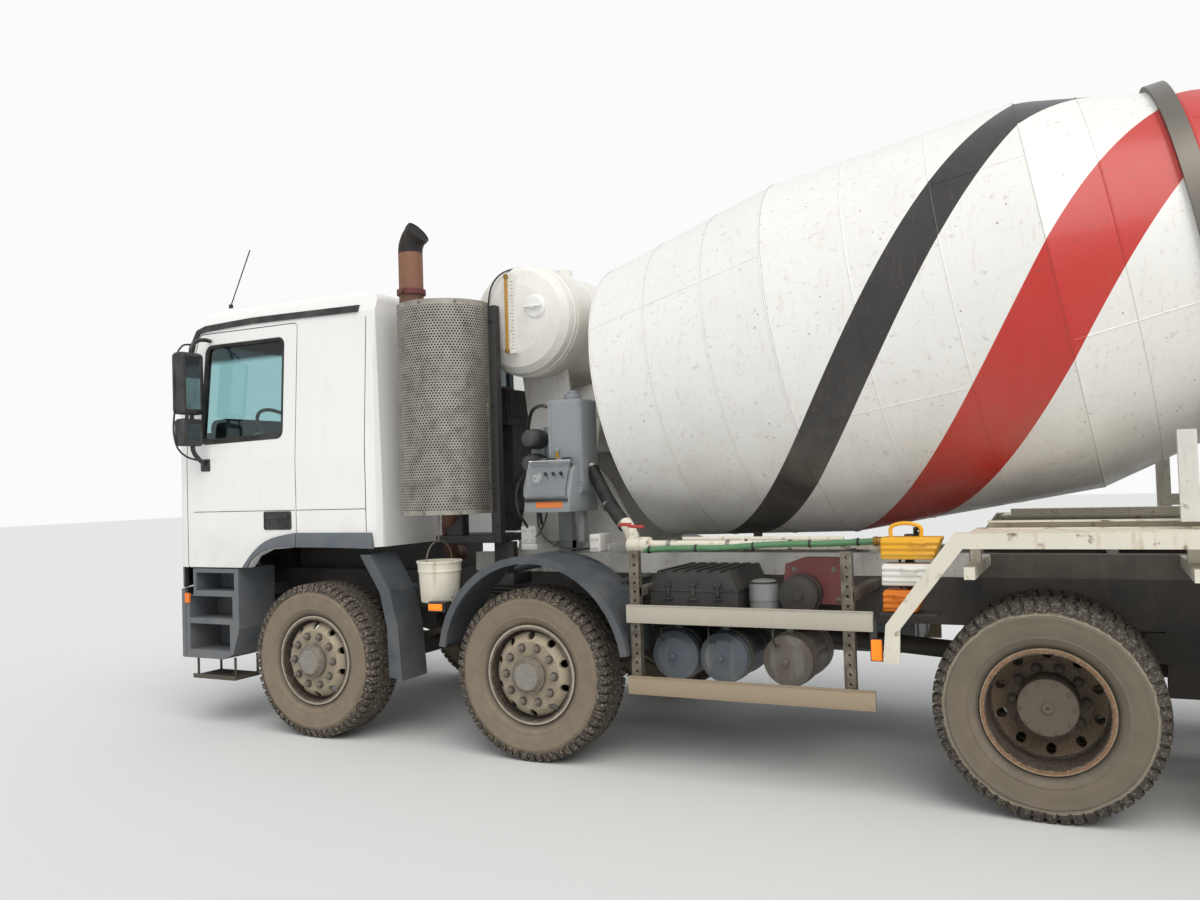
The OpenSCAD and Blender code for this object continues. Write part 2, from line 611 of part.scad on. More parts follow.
track_s = 3280;
track_half = 45;
drum_rows = [[drum_front_r, 0], [drum_r, 1190], [drum_r, 2605], [956, 3220], [956, 3340], [mouth_r, 4250]];
head_r = (drum_front_r * drum_front_r + head_depth * head_depth) / 2 / head_depth;
head_half = asin(drum_front_r / head_r);
function head_arc(d) = [for (i = [0 : 6]) let (a = head_half * i / 6)
  [(head_r - d) * sin(a), head_r - head_depth - (head_r - d) * cos(a)]];
module drum() from_axle_1() color(white) at_drum() {
  rotate_extrude($fn = 96) polygon(concat(
    [for (p = head_arc(0)) p], [for (k = [1 : 5]) drum_rows[k]],
    [for (k = [5 : -1 : 1]) drum_rows[k] - [drum_wall, k == 5 ? 0 : 0]],
    [for (k = [6 : -1 : 0]) head_arc(drum_wall)[k]]));
  rotate_extrude($fn = 96) polygon([[950, track_s - track_half], [track_r, track_s - track_half],
    [track_r, track_s + track_half], [950, track_s + track_half]]);
  rotate_extrude($fn = 96) polygon([[mouth_r - 4, 4215], [mouth_r + 26, 4215], [mouth_r + 26, 4250], [mouth_r - 4, 4250]]);
  translate([0, 0, gearbox_s]) cylinder(r = 160, h = -gearbox_s - head_depth + 8);
}

// Support rollers and their pedestal

shaft_r = 30;
roller_w = 100;
roller_d = track_r + roller_r + turn_gap;
module at_roller(s) at_drum() translate([-roller_d * cos(roller_angle), s * roller_d * sin(roller_angle), track_s]) children();
module roller(s) from_axle_1() color(steel) at_roller(s) {
  translate([0, 0, -roller_w / 2]) cylinder(r = roller_r, h = roller_w);
  translate([0, 0, -100]) cylinder(r = shaft_r, h = 200);
}
pedestal_top = 1520;
leg_y = 700;
module rear_pedestal() from_axle_1() color(white) {
  for (s = [-1, 1]) at_roller(s) for (z = [-90, 65]) difference() {
    translate([-310, -85, z]) cube([375, 170, 25]);
    translate([0, 0, z - 1]) cylinder(r = shaft_r + bore_gap, h = 40);
  }
  box([-5750, -1000, pedestal_top - 110], [-5380, 1000, pedestal_top]);
  both_sides() {
    box([-5750, frame_w / 2 - 90, subframe_top], [-5380, frame_w / 2 - 70, pedestal_top - 110]);
    box([-5230, 940, 1400], [-5150, 1000, 1830]);
    box([-5400, 940, 1410], [-5230, 1000, 1480]);
    // Legs that carry the hopper behind the mouth
    slab_y(leg_y - 60, leg_y, [[-6330, subframe_top - 40], [-6250, subframe_top - 40], [-6370, 3440], [-6450, 3440]]);
    box([-6330, frame_w / 2 - 90, subframe_top], [-6250, leg_y, subframe_top + 60]);
  }
}

// Hopper, and the collector under the drum's mouth
hopper_top = 3790;
module frustum(x0, x1, y, z, u0, u1, v, w, grow = 0)
  hull() {
    translate([x0, -y, z]) cube([x1 - x0, 2 * y, 1]);
    translate([u0, -v, w]) cube([u1 - u0, 2 * v, 1]);
  }
// Half width of the hopper at height z
function hopper_y(z) = 230 + 290 * (z - 3220) / (hopper_top - 3221);
module hopper_and_discharge() from_axle_1() color(white) {
  difference() {
    frustum(-7000, -6120, 520, hopper_top - 1, -6680, -6400, 230, 3220);
    frustum(-6992, -6128, 512, hopper_top, -6672, -6408, 222, 3219);
  }
  both_sides() box([-6450, 600, 3440], [-6370, 700, 3480]);
  both_sides() slab_x(-6450, -6370, [[hopper_y(3480) - 4, 3480], [leg_y, 3480], [leg_y, 3510], [hopper_y(3510) - 4, 3510]]);
  difference() {
    frustum(-6980, -6400, 640, 2500, -7100, -6860, 190, 2000);
    frustum(-6972, -6390, 632, 2501, -7094, -6866, 184, 1999);
  }
  both_sides() box([-6450, 620, 2300], [-6400, 640, 2480]);
}

// Chute

post_r = 50;
chute_pin_r = 20;
chute_lift = 40;
// The chute's own frame: x runs out along it, from the tilting pin
module at_chute(a = chute_slope) translate([swivel_x, 0, chute_pin_z]) rotate([0, 0, 180]) rotate([0, a, 0]) children();
module chute_swivel() from_axle_1() color(white) {
  translate([swivel_x, 0, 1012]) cylinder(r = post_r, h = 420);
  translate([swivel_x, 0, 1311]) cylinder(r = 90, h = 50);
  box([swivel_x - 75, -150, 1430], [swivel_x + 75, 150, 1470]);
  both_sides() difference() {
    box([swivel_x - 45, 120, 1470], [swivel_x + 45, 145, chute_pin_z + 45]);
    bar_y(swivel_x, chute_pin_z, 0, 400, chute_pin_r + bore_gap);
  }
  both_sides() difference() {
    box([cyl_x - 35, 32, 1320], [swivel_x - 40, 50, 1432]);
    bar_y(cyl_x, cyl_z, 0, 400, 15 + bore_gap);
  }
  box([swivel_x - 76, -50, 1361], [swivel_x + 50, 50, 1432]);
}
module trough(l, r, wall) rotate([0, 90, 0]) difference() {
  cylinder(r = r, h = l, $fn = 64);
  translate([0, 0, -1]) cylinder(r = r - wall, h = l + 2, $fn = 64);
  translate([-2 * r, -2 * r, -1]) cube([2 * r, 4 * r, l + 2]);
}
module chute() from_axle_1() color(white) at_chute() {
  translate([-150, 0, chute_lift + chute_r]) trough(chute_l, chute_r, chute_wall);
  bar_y(0, 0, -145, 145, chute_pin_r);
  difference() {
    box([-40, -115, -30], [40, 115, chute_lift + 24]);
    translate([-100, 0, chute_lift + chute_r]) rotate([0, 90, 0]) cylinder(r = chute_r - chute_wall, h = 300, $fn = 64);
  }
  both_sides() box([rod_at - 30, 34, -10], [rod_at + 30, 48, chute_lift + 8]);
  // Ears for the folding chute's hinge pin
  both_sides() difference() {
    slab_y(chute_r - chute_wall, chute_r + 12, [[flap_hinge.x - 90, chute_lift + chute_r - 60], [flap_hinge.x + 18, flap_hinge.y - 20],
      [flap_hinge.x + 18, flap_hinge.y + 18], [flap_hinge.x - 18, flap_hinge.y + 18], [flap_hinge.x - 90, chute_lift + chute_r - 4]]);
    bar_y(flap_hinge.x, flap_hinge.y, 0, 400, flap_pin_r + bore_gap);
  }
}
flap_r = chute_r - 12;
flap_pin_r = 10;
flap_rise = 22;
flap_hinge = [chute_l - 150 + 20, chute_lift + chute_r + flap_rise];
module chute_flap() from_axle_1() color(white) at_chute()
  translate([flap_hinge.x, 0, flap_hinge.y]) {
    translate([-flap_l - 25, 0, 20]) mirror([0, 0, 1]) trough(flap_l, flap_r, chute_wall);
    bar_y(0, 0, -chute_r - 14, chute_r + 14, flap_pin_r);
    both_sides() slab_y(flap_r - 12, flap_r - 2, [[-60, 14], [-60, 40], [0, 8], [0, -8], [-12, -8]]);
  }
cyl_x = swivel_x - 130;
cyl_z = 1370;
rod_at = 620;
rod_eye = [swivel_x - rod_at * cos(chute_slope), chute_pin_z - rod_at * sin(chute_slope)];
cyl_l = norm(rod_eye - [cyl_x, cyl_z]);
cyl_tilt = atan2(rod_eye.y - cyl_z, cyl_x - rod_eye.x);
cyl_stroke_room = 95;
module at_cylinder() translate([cyl_x, 0, cyl_z]) rotate([0, -90 + cyl_tilt, 0]) children();
module cylinder_barrel() from_axle_1() color([0.75, 0.75, 0.72]) {
  at_cylinder() translate([0, 0, 20]) difference() {
    cylinder(r = 32, h = cyl_l - cyl_stroke_room - 60);
    translate([0, 0, 30]) cylinder(r = 18 + bore_gap, h = 600);
  }
  bar_y(cyl_x, cyl_z, -50, 50, 15);
  bar_y(cyl_x, cyl_z, -30, 30, 33);
}
module cylinder_rod() from_axle_1() color(steel) at_cylinder() {
  translate([0, 0, 150]) cylinder(r = 18, h = cyl_l - 150 - 18);
  translate([0, 14, cyl_l]) rotate([90, 0, 0]) difference() {
    cylinder(r = 30, h = 28);
    translate([0, 0, -1]) cylinder(r = 16, h = 30);
  }
}

// Cab

cab_side = [[cab_back, 900, 0], [cab_front - 15, 900, 0], [cab_front + 12, 1800, 200], [cab_front - 30, 2040, 120],
  [1165, 2830, 90], [1085, 2985, 120], [850, cab_top - 15, 250], [300, cab_top - 25, 600],
  [-300, cab_top - 75, 600], [cab_back + 20, cab_top - 130, 60]];
cab_plan = [[cab_back, -cab_half_w, 110], [1270, -cab_half_w, 90], [1375, -960, 140], [cab_front + 12, -480, 400],
  [cab_front + 12, 480, 400], [1375, 960, 140], [1270, cab_half_w, 90], [cab_back, cab_half_w, 110]];
cab_face = [[-cab_half_w, 900, 0], [cab_half_w, 900, 0], [cab_half_w, 1900, 300], [cab_half_w - 52, 2870, 60],
  [cab_half_w - 120, 3040, 120], [500, cab_top, 500], [-500, cab_top, 500], [-cab_half_w + 120, 3040, 120],
  [-cab_half_w + 52, 2870, 60], [-cab_half_w, 1900, 300]];
// The cab's outer form, moved inwards by d
module cab_solid(d) intersection() {
  slab_y(-2000, 2000, outline(cab_side, d));
  slab_x(-2000, 3000, outline(cab_face, d));
  translate([0, 0, 500]) linear_extrude(3000) polygon(outline(cab_plan, d));
}
// Side outline of a door: [x, z, corner radius]
door_rows = [[door_rear, arch_top, 0], [400, arch_top - 15, 0], [530, 1220, 0], [600, cab_low, 0],
  [door_front, cab_low, 20], [door_front, 2050, 60], [1128, 2700, 30], [1090, door_top, 40],
  [door_rear, door_top, 30]];
window_rows = [[265, 2050, 50], [1060, 2035, 60], [1020, 2755, 60], [265, 2755, 60]];
module door_prism(g) slab_y(1000, 2000, outline(door_rows, -g));
module window_prism(g = 0) slab_y(1000, 2000, outline(window_rows, -g));
module door(s) from_axle_1() color(white) side(s) difference() {
  intersection() {
    cab_solid(0);
    door_prism(0);
  }
  cab_solid(cab_wall);
  window_prism();
}
module door_glass(s) from_axle_1() color(glass_tint) side(s) intersection() {
  difference() {
    cab_solid(20);
    cab_solid(20 + glass_t);
  }
  window_prism();
}
windscreen = [[-1010, 2060, 60], [1010, 2060, 60], [975, 2790, 80], [-975, 2790, 80]];
rear_window = [[-620, 2380, 50], [620, 2380, 50], [620, 2710, 50], [-620, 2710, 50]];
module cab_shell() from_axle_1() color(white) {
  difference() {
    cab_solid(0);
    cab_solid(cab_wall);
    both_sides() door_prism(door_gap);
    slab_x(1000, 2000, outline(windscreen));
    slab_x(-1000, 0, outline(rear_window));
    box([-1000, -2000, 900], [600, 2000, arch_top]);
    box([-1000, -2000, 900], [2000, 2000, cab_low]);
  }
  box([cab_back + cab_wall, -1060, 1385], [1300, 1060, 1445]);
  // Ears on the tilting pins
  both_sides() difference() {
    slab_y(tilt_y + turn_gap, tilt_y + 22, [[tilt_x - 35, 1386], [tilt_x - 35, tilt_z - 35], [tilt_x + 35, tilt_z - 35], [tilt_x + 35, 1386]]);
    bar_y(tilt_x, tilt_z, 0, 2000, tilt_pin_r + bore_gap);
  }
  // Hinge leaves in the gap ahead of each door
  both_sides() for (z = [1380, 1860])
    box([door_front + turn_gap, cab_half_w - 45, z], [door_front + door_gap, cab_half_w - 15, z + 130]);
}
module cab_glass() from_axle_1() color(glass_tint) difference() {
  intersection() {
    cab_solid(20);
    union() {
      slab_x(1000, 2000, outline(windscreen));
      slab_x(-1000, 0, outline(rear_window));
    }
  }
  cab_solid(20 + glass_t);
}
// Grille, lower skirt and roof rails
module cab_trim() from_axle_1() color(plastic_grey) {
  difference() {
    intersection() {
      cab_solid(0);
      translate([0, 0, 990]) box([1235, -2000, 0], [2000, 2000, cab_low - 990]);
    }
    cab_solid(30);
  }
}
module seat(y) {
  box([-60, y - 240, 1445], [380, y + 240, 1560]);
  slab_y(y - 250, y + 250, outline([[-80, 1560, 20], [440, 1560, 40], [440, 1690, 50], [-60, 1680, 20]]));
  slab_y(y - 240, y + 240, outline([[-180, 1690, 20], [-50, 1690, 20], [-120, 2330, 50], [-240, 2330, 50]]));
  slab_y(y - 130, y + 130, outline([[-250, 2350, 30], [-140, 2350, 30], [-160, 2530, 40], [-260, 2530, 40]]));
  box([-210, y - 60, 2325], [-190, y + 60, 2355]);
  box([-160, y - 200, 1600], [-60, y + 200, 1720]);
}
wheel_c = [800, 560, 1990];
module cab_interior() from_axle_1() color(black) {
  both_sides() seat(560);
  intersection() {
    cab_solid(cab_wall + 8);
    union() {
      slab_y(-1100, 1100, [[1000, 1700], [1400, 1700], [1400, 2030], [1100, 2020], [1000, 1930]]);
      box([1150, -1100, 1445], [1250, 1100, 1701]);
    }
  }
  translate(wheel_c) rotate([0, -50, 0]) {
    rotate_extrude() translate([225, 0]) circle(r = 14, $fn = 16);
    box([-20, -215, -12], [20, 215, 8]);
    translate([0, 0, -290]) cylinder(r = 30, h = 290);
  }
}
// Mirrors: two arms from the door and two heads
module mirror_set(s) from_axle_1() color(black) side(s) difference() {
  union() {
    between([975, 1080, 2790], [985, 1280, 2740], 16);
    between([1000, 1130, 1861], [985, 1260, 1990], 18);
    slab_x(930, 1050, outline([[1190, 2240, 40], [1400, 2240, 40], [1400, 2690, 50], [1190, 2690, 50]]));
    slab_x(940, 1050, outline([[1190, 2015, 40], [1390, 2015, 40], [1390, 2215, 40], [1190, 2215, 40]]));
    between([985, 1262, 1985], [985, 1282, 2745], 16);
  }
  cab_solid(-turn_gap);
}

// Chocks and the bucket
chock_step = 135;
module stowed_gear() from_axle_1() color(yellow) {
  for (i = [0 : 2]) translate([-20 * i, 0, chock_step * i])
    slab_y(960, 1110, [[-4010, 960], [-3790, 960], [-3800, 1010], [-3860, 1085], [-3960, 1085], [-4010, 1010]]);
  box([-3930, 900, 955], [-3890, 965, 1330]);
  box([-3930, frame_w / 2, 1000], [-3890, 901, 1040]);
}

// First axle ahead of the middle of the whole truck, from its front and the folded chute's end
back_x = swivel_x - (flap_hinge.x - 25) * cos(chute_slope) - (flap_hinge.y + 20 + flap_r) * sin(chute_slope);
axle_1_x = -(bumper_front + back_x) / 2;

chassis_frame();
mixer_subframe();
engine();
axles();
bumper();
lamps();
front_mudguards();
rear_mudguards();
side_guards();
tanks();
battery_box();
exhaust_guard();
exhaust_stack();
air_intake();
water_tank();
controls_and_hoses();
front_pedestal();
rear_pedestal();
hopper_and_discharge();
stowed_gear();
cab_shell();
cab_trim();
cab_glass();
cab_interior();
door(1);  // door_left
door(-1);  // door_right
door_glass(1);  // door_glass_left
door_glass(-1);  // door_glass_right
mirror_set(1);  // mirror_left
mirror_set(-1);  // mirror_right
for (i = [0, 1], s = [1, -1]) {
  name = str(i + 1, s > 0 ? "_left" : "_right");
  knuckle(i, s);
  front_rim(i, s);
  front_tyre(i, s);
}
for (i = [2, 3], s = [1, -1]) {
  name = str(i + 1, s > 0 ? "_left" : "_right");
  twin_rims(i, s);
  twin_tyres(i, s);
}
drum();
roller(1);  // roller_left
roller(-1);  // roller_right
chute_swivel();
chute();
chute_flap();
cylinder_barrel();
cylinder_rod();
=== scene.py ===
# %% [markdown]
# # A concrete mixer truck, dressed in Blender
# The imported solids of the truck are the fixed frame. This script gives each of them a real
# finish, replaces what needs softer or finer shapes, adds the small things that a solid model
# leaves out, and sets up a camera, a floor and soft light.

# %% Frame
import math

import bpy
import bmesh
from mathutils import Matrix, Vector
from mathutils.bvhtree import BVHTree


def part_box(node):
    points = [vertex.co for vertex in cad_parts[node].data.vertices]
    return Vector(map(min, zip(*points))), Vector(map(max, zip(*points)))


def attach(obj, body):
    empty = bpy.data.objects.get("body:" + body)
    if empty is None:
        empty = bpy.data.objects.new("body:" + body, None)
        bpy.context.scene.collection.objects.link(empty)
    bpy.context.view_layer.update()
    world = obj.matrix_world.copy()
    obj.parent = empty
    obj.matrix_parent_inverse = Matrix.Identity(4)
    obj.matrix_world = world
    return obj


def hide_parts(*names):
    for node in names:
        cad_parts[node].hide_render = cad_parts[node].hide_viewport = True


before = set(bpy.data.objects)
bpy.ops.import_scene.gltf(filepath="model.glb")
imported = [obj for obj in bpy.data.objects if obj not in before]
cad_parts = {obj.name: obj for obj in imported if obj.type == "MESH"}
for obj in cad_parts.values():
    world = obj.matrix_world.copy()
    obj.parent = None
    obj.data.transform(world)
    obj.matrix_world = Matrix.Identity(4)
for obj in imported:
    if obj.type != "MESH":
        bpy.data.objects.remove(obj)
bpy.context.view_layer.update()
bpy.ops.object.select_all(action="DESELECT")


def middle(node):
    low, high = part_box(node)
    return (low + high) / 2


axle_1 = middle("tyre_1_left").x
AXLE_X = (0.0, -1.7, -4.55, -5.9)
AXLE_Z = 0.52
WHEEL_AXIS = ((0, 0, AXLE_Z), (0, 1, 0))


def at(x, y, z):
    """A place in metres, with x counted forwards from the first axle."""
    return Vector((axle_1 + x, y, z))


print("first axle at x =", round(axle_1, 4), "nodes:", len(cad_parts))

# %% [markdown]
# ## Camera
# The camera stands at the photograph's viewpoint, left of the rear axles at eye height, with
# the same field of view. Its three axes come from a heading, a small upward tilt and a roll.

# %% Camera
EYE = at(-4.798, 6.342, 1.67)
HEADING, TILT, ROLL = 0.4611, 0.0321, -0.0314
FOCAL_SHARE = 992.72 / 1200


def camera_axes(heading, tilt, roll):
    flat = Vector((math.sin(heading), -math.cos(heading), 0))
    right = Vector((-math.cos(heading), -math.sin(heading), 0))
    up = Vector((0, 0, 1))
    forward = math.cos(tilt) * flat + math.sin(tilt) * up
    lifted = math.cos(tilt) * up - math.sin(tilt) * flat
    across = math.cos(roll) * right + math.sin(roll) * lifted
    above = math.cos(roll) * lifted - math.sin(roll) * right
    return across, above, forward


across, above, forward = camera_axes(HEADING, TILT, ROLL)
bpy.ops.object.camera_add(location=EYE)
camera = bpy.context.object
camera.name = "Camera"
camera.rotation_euler = Matrix((across, above, -forward)).transposed().to_euler()
camera.data.sensor_width = 36
camera.data.lens = 36 * FOCAL_SHARE
camera.data.clip_end = 200
bpy.context.scene.camera = camera
print("lens", round(camera.data.lens, 2), "mm")

# %% [markdown]
# ## Light
# An overcast sky is a large soft light from everywhere, with a little more from above. A wide
# sun lamp gives the shapes a side that is slightly darker, and keeps the shadow soft.

# %% Nodes and colours


def srgb(code):
    """A written colour such as E8E6E1 as the linear values that a shader works with."""
    parts = [int(code[i:i + 2], 16) / 255 for i in (0, 2, 4)]
    return [c / 12.92 if c < 0.04045 else ((c + 0.055) / 1.055) ** 2.4 for c in parts] + [1]


def add(tree, kind, settings=None, **inputs):
    """Adds a node; a key such as i6 is a socket's number, any other key its name."""
    made = tree.nodes.new("ShaderNode" + kind)
    for key, value in (settings or {}).items():
        setattr(made, key, value)
    for key, value in inputs.items():
        numbered = key[0] == "i" and key[1:].isdigit()
        socket = made.inputs[int(key[1:]) if numbered else key.replace("_", " ")]
        if isinstance(value, bpy.types.NodeSocket):
            tree.links.new(value, socket)
        else:
            socket.default_value = value
    return made


# %% World and lamps
bpy.context.scene.view_settings.view_transform = "Standard"
world = bpy.data.worlds.new("Overcast sky")
bpy.context.scene.world = world
world.use_nodes = True
sky = world.node_tree
sky.nodes.clear()
path = add(sky, "LightPath")
seen = add(sky, "Math", {"operation": "MAXIMUM"}, i0=path.outputs["Is Camera Ray"],
           i1=path.outputs["Is Transmission Ray"])
lit = add(sky, "Background", Color=srgb("EDF0F3"), Strength=0.86)
shown = add(sky, "Background", Color=srgb("FBFBFC"), Strength=1.0)
either = add(sky, "MixShader", i0=seen.outputs[0], i1=lit.outputs[0], i2=shown.outputs[0])
add(sky, "OutputWorld", Surface=either.outputs[0])

bpy.ops.object.light_add(type="SUN", rotation=(math.radians(38), math.radians(8), math.radians(-150)))
sun = bpy.context.object
sun.name = "Bright part of the sky"
sun.data.energy = 1.75
sun.data.angle = math.radians(50)
sun.data.color = (1.0, 0.98, 0.95)

# %% [markdown]
# ## Materials
# Each finish starts from what the real surface is, and then gets the age of a working truck:
# road dust that is thicker near the ground, streaks, chips and specks. Where one solid holds
# parts of several colours, boxes in the piece's own coordinates say which colour goes where;
# on the subframe, one box paints the shade behind the rear wheels instead.

# %% Material helpers


def material(name, **values):
    """A new material: its node tree, its shader and the piece's own coordinates in metres."""
    made = bpy.data.materials.new(name)
    made.use_nodes = True
    tree = made.node_tree
    tree.nodes.clear()
    shader = add(tree, "BsdfPrincipled", **values)
    add(tree, "OutputMaterial", Surface=shader.outputs[0])
    place = add(tree, "TexCoord").outputs["Object"]
    return made, tree, shader, place


def mix(tree, factor, a, b, way="MIX"):
    return add(tree, "Mix", {"data_type": "RGBA", "blend_type": way}, i0=factor, i6=a, i7=b).outputs[2]


def sums(tree, way, a, b=0.0, c=0.0):
    """One step of arithmetic, such as ADD, LESS_THAN or COMPARE, kept between 0 and 1 for MULTIPLY."""
    settings = {"operation": way, "use_clamp": way == "MULTIPLY"}
    return add(tree, "Math", settings, i0=a, i1=b, i2=c).outputs[0]


def times(tree, a, b):
    return sums(tree, "MULTIPLY", a, b)


def spread(tree, value, low, high, to_low=0.0, to_high=1.0):
    """Maps a value from low..high to another range and keeps it there."""
    return add(tree, "MapRange", i0=value, i1=low, i2=high, i3=to_low, i4=to_high).outputs[0]


def blotches(tree, place, size_mm, low, high, detail=4.0, stretch=(1, 1, 1)):
    """Soft random patches of about size_mm, from 0 to 1."""
    scaled = add(tree, "Mapping", Vector=place, Scale=stretch).outputs[0]
    noise = add(tree, "TexNoise", Vector=scaled, Scale=1000 / size_mm, Detail=detail, Roughness=0.6)
    return spread(tree, noise.outputs[0], low, high)


def inside(tree, place, *spans):
    """1 inside a box given by spans of x from the first axle, of distance from the middle, and of z."""
    xyz = add(tree, "SeparateXYZ", Vector=place)
    axes = (xyz.outputs[0], sums(tree, "ABSOLUTE", xyz.outputs[1]), xyz.outputs[2])
    share = None
    for axis, span, start in zip(axes, spans, (axle_1, 0, 0)):
        if span:
            here = sums(tree, "COMPARE", axis, start + (span[0] + span[1]) / 2, (span[1] - span[0]) / 2)
            share = here if share is None else times(tree, share, here)
    return share


def dust(tree, place, colour, low=0.3, high=1.6, amount=0.6, dirt="8B8174"):
    """Road dust over a colour: full at height low, thin at height high, in patches."""
    height = add(tree, "SeparateXYZ", Vector=place).outputs[2]
    patches = blotches(tree, place, 260, 0.25, 0.68, 8.0)
    share = times(tree, times(tree, spread(tree, height, low, high, 1.0, 0.12), patches), amount)
    return mix(tree, share, colour, srgb(dirt)), share


def bump(tree, shader, height, distance_mm, strength=1.0):
    made = add(tree, "Bump", Height=height, Distance=distance_mm / 1000, Strength=strength)
    tree.links.new(made.outputs[0], shader.inputs["Normal"])


def rusted(tree, place, colour, share, size_mm=70):
    """Rust spots in a colour, with paler runs below them."""
    spots = blotches(tree, place, size_mm, 0.6, 0.68, 10.0)
    runs = blotches(tree, place, size_mm * 0.6, 0.56, 0.75, 6.0, (1.0, 1.0, 0.12))
    stained = mix(tree, times(tree, runs, share * 0.8), colour, srgb("94683F"))
    return mix(tree, times(tree, spots, share), stained, srgb("5B3620"))


def lined(tree, place, colour, lining, centre):
    """Another colour on the faces that look towards a place inside, as on a cab's lining."""
    normal = add(tree, "TexCoord").outputs["Normal"]
    way = add(tree, "VectorMath", {"operation": "SUBTRACT"}, i0=place, i1=at(*centre)).outputs[0]
    facing = add(tree, "VectorMath", {"operation": "DOT_PRODUCT"}, i0=normal, i1=way).outputs["Value"]
    return mix(tree, sums(tree, "LESS_THAN", facing, -0.02), colour, srgb(lining))


# %% Paints


def paint(name, colour, roughness=0.35, amount=0.35, high=1.7, coat=0.25, dirt="8B8174", areas=(), rust=0.0,
          lining=None, streak=0.35, low=0.3):
    """Sprayed paint on sheet steel: slightly uneven in tone, glossy where it is clean."""
    made, tree, shader, place = material(name, Coat_Weight=coat, Coat_Roughness=0.12)
    tone = blotches(tree, place, 700, 0.2, 0.8, 2.0)
    clean = mix(tree, times(tree, tone, 0.06), srgb(colour), srgb("6F6A60"))
    for other, *spans in areas:
        clean = mix(tree, inside(tree, place, *spans), clean, srgb(other))
    if lining:
        clean = lined(tree, place, clean, *lining)
    if rust:
        clean = rusted(tree, place, clean, rust)
    streaks = blotches(tree, place, 60, 0.55, 0.85, 3.0, (1.0, 1.0, 0.08))
    streaked = mix(tree, times(tree, streaks, amount * streak), clean, srgb(dirt))
    dirty, share = dust(tree, place, streaked, low, high, amount, dirt)
    tree.links.new(dirty, shader.inputs["Base Color"])
    tree.links.new(spread(tree, share, 0.0, 1.0, roughness, 0.9), shader.inputs["Roughness"])
    bump(tree, shader, blotches(tree, place, 9, 0.0, 1.0, 2.0), 0.15, 0.25)
    return made


white_paint = paint("White two-coat paint", "F1F0EC")
tank_white = paint("White tank paint", "EDEBE5", 0.4, 0.45, 3.4, 0.1, "B3A68E", rust=0.1, low=2.2)
cab_paint = paint("White cab paint", "F3F2EF", 0.28, 0.25, 1.6, 0.4, lining=("34383D", (0.45, 0, 2.0)),
                  low=1.1)
door_paint = paint("White door paint", "F3F2EF", 0.28, 0.25, 1.6, 0.4, lining=("34383D", (0.45, 0, 2.0)),
                   low=1.1, areas=(("17181A", (0.186, 0.439), (1.09, 1.1399), (1.404, 1.536)),
                                   ("5A636C", None, (1.1403, 1.2), (1.0, 1.5))))
hopper_paint = paint("White paint with cement splashes", "E4E2DA", 0.5, 0.6, 4.5, 0.1, "A8A194", rust=0.5)
# The dark box behind the rear wheels (x -6.75 to -4.15, z 0.9 to 1.32) is painted shade under the mudguards.
subframe_paint_with_painted_shade = paint("White subframe paint", "DEDCD6", 0.5, 0.6, 2.2, 0.05, "8E8678", rust=0.35,
                    areas=(("47423C", (-6.75, -4.15), None, (0.9, 1.32)),))
cream_paint = paint("Worn cream paint", "E6E0CE", 0.5, 0.34, 1.7, 0.0, "8A7C66", rust=0.75,
                    areas=(("2B2B2C", (-6.7, -6.6595), (0.69, 1.24), (0.55, 1.06)),))
# Near black: soot, and painted shade for the open inside of the stack's mouth.
soot_and_painted_shade = paint("Soot and painted shade inside a pipe", "0D0C0B", 0.95, 0.1, 4.0, 0.0)
chassis_paint = paint("Dusty black chassis paint", "2E2D2E", 0.55, 0.7, 1.8, 0.0, "6F665A")
tank_paint = paint("Blue-grey tank paint", "4A5663", 0.4, 0.55, 1.0, 0.1, "9B978C", streak=1.2,
                   areas=(("5F554B", (-3.4, -3.09), None, (0.5, 0.81)),
                          ("C9C7C0", (-3.75, -2.4), (0.4, 1.1), (0.4758, 0.478))))
grey_paint = paint("Powder-coated grey", "8B9196", 0.5, 0.4, 3.0, 0.0, "A79F92")
knuckle_paint = paint("Greasy black paint", "252423", 0.5, 0.8, 1.4, 0.0, "5F564A")
engine_cast = paint("Dark cast iron", "3A3A3A", 0.6, 0.5, 2.0, 0.0, "5E564B")
canister_grey = paint("Light grey canister paint", "808282", 0.4, 0.35, 1.6, 0.1)
dark_grease = paint("Greasy ring round a nut", "3B352E", 0.6, 0.3, 1.3, 0.0)
nut_steel = paint("Zinc-plated steel, dulled", "77726A", 0.45, 0.5, 1.6, 0.0, "756B5D")
hub_steel = paint("Driven hub steel under road dust", "5E554A", 0.75, 0.6, 1.6, 0.0, "6E6251")
blank_plate = paint("White reflective plate", "E9E7DD", 0.4, 0.25, 1.4, 0.1)
box_black = paint("Black moulded battery box", "232426", 0.5, 0.5, 1.4, 0.0, "6F675C",
                  areas=(("7A3B3C", (-3.561, -3.199), (0.815, 0.901), (0.955, 1.22)),))
stack_paint = paint("Heat-rusted exhaust steel", "6E4B38", 0.6, 0.45, 4.5, 0.0, "2F221C", streak=1.6,
                    rust=0.5, areas=(
                        ("1F2022", (-1.31, -1.14), (0.4, 0.81), (0.99, 2.87)),
                        ("232427", (-1.26, -0.77), (0.4, 0.801), (1.28, 1.345)),
                        ("5A3A2C", (-1.13, -0.74), (0.7, 1.09), (1.5, 2.765)),
                        ("6B2F33", (-0.86, -0.66), (0.87, 1.08), (2.954, 2.992)),
                        ("8A5F48", (-1.0, -0.64), (0.85, 1.1), (2.992, 3.262)),
                        ("1B1715", (-1.2, -0.64), (0.8, 1.12), (3.235, 3.6))))

# %% Plastics and rubber


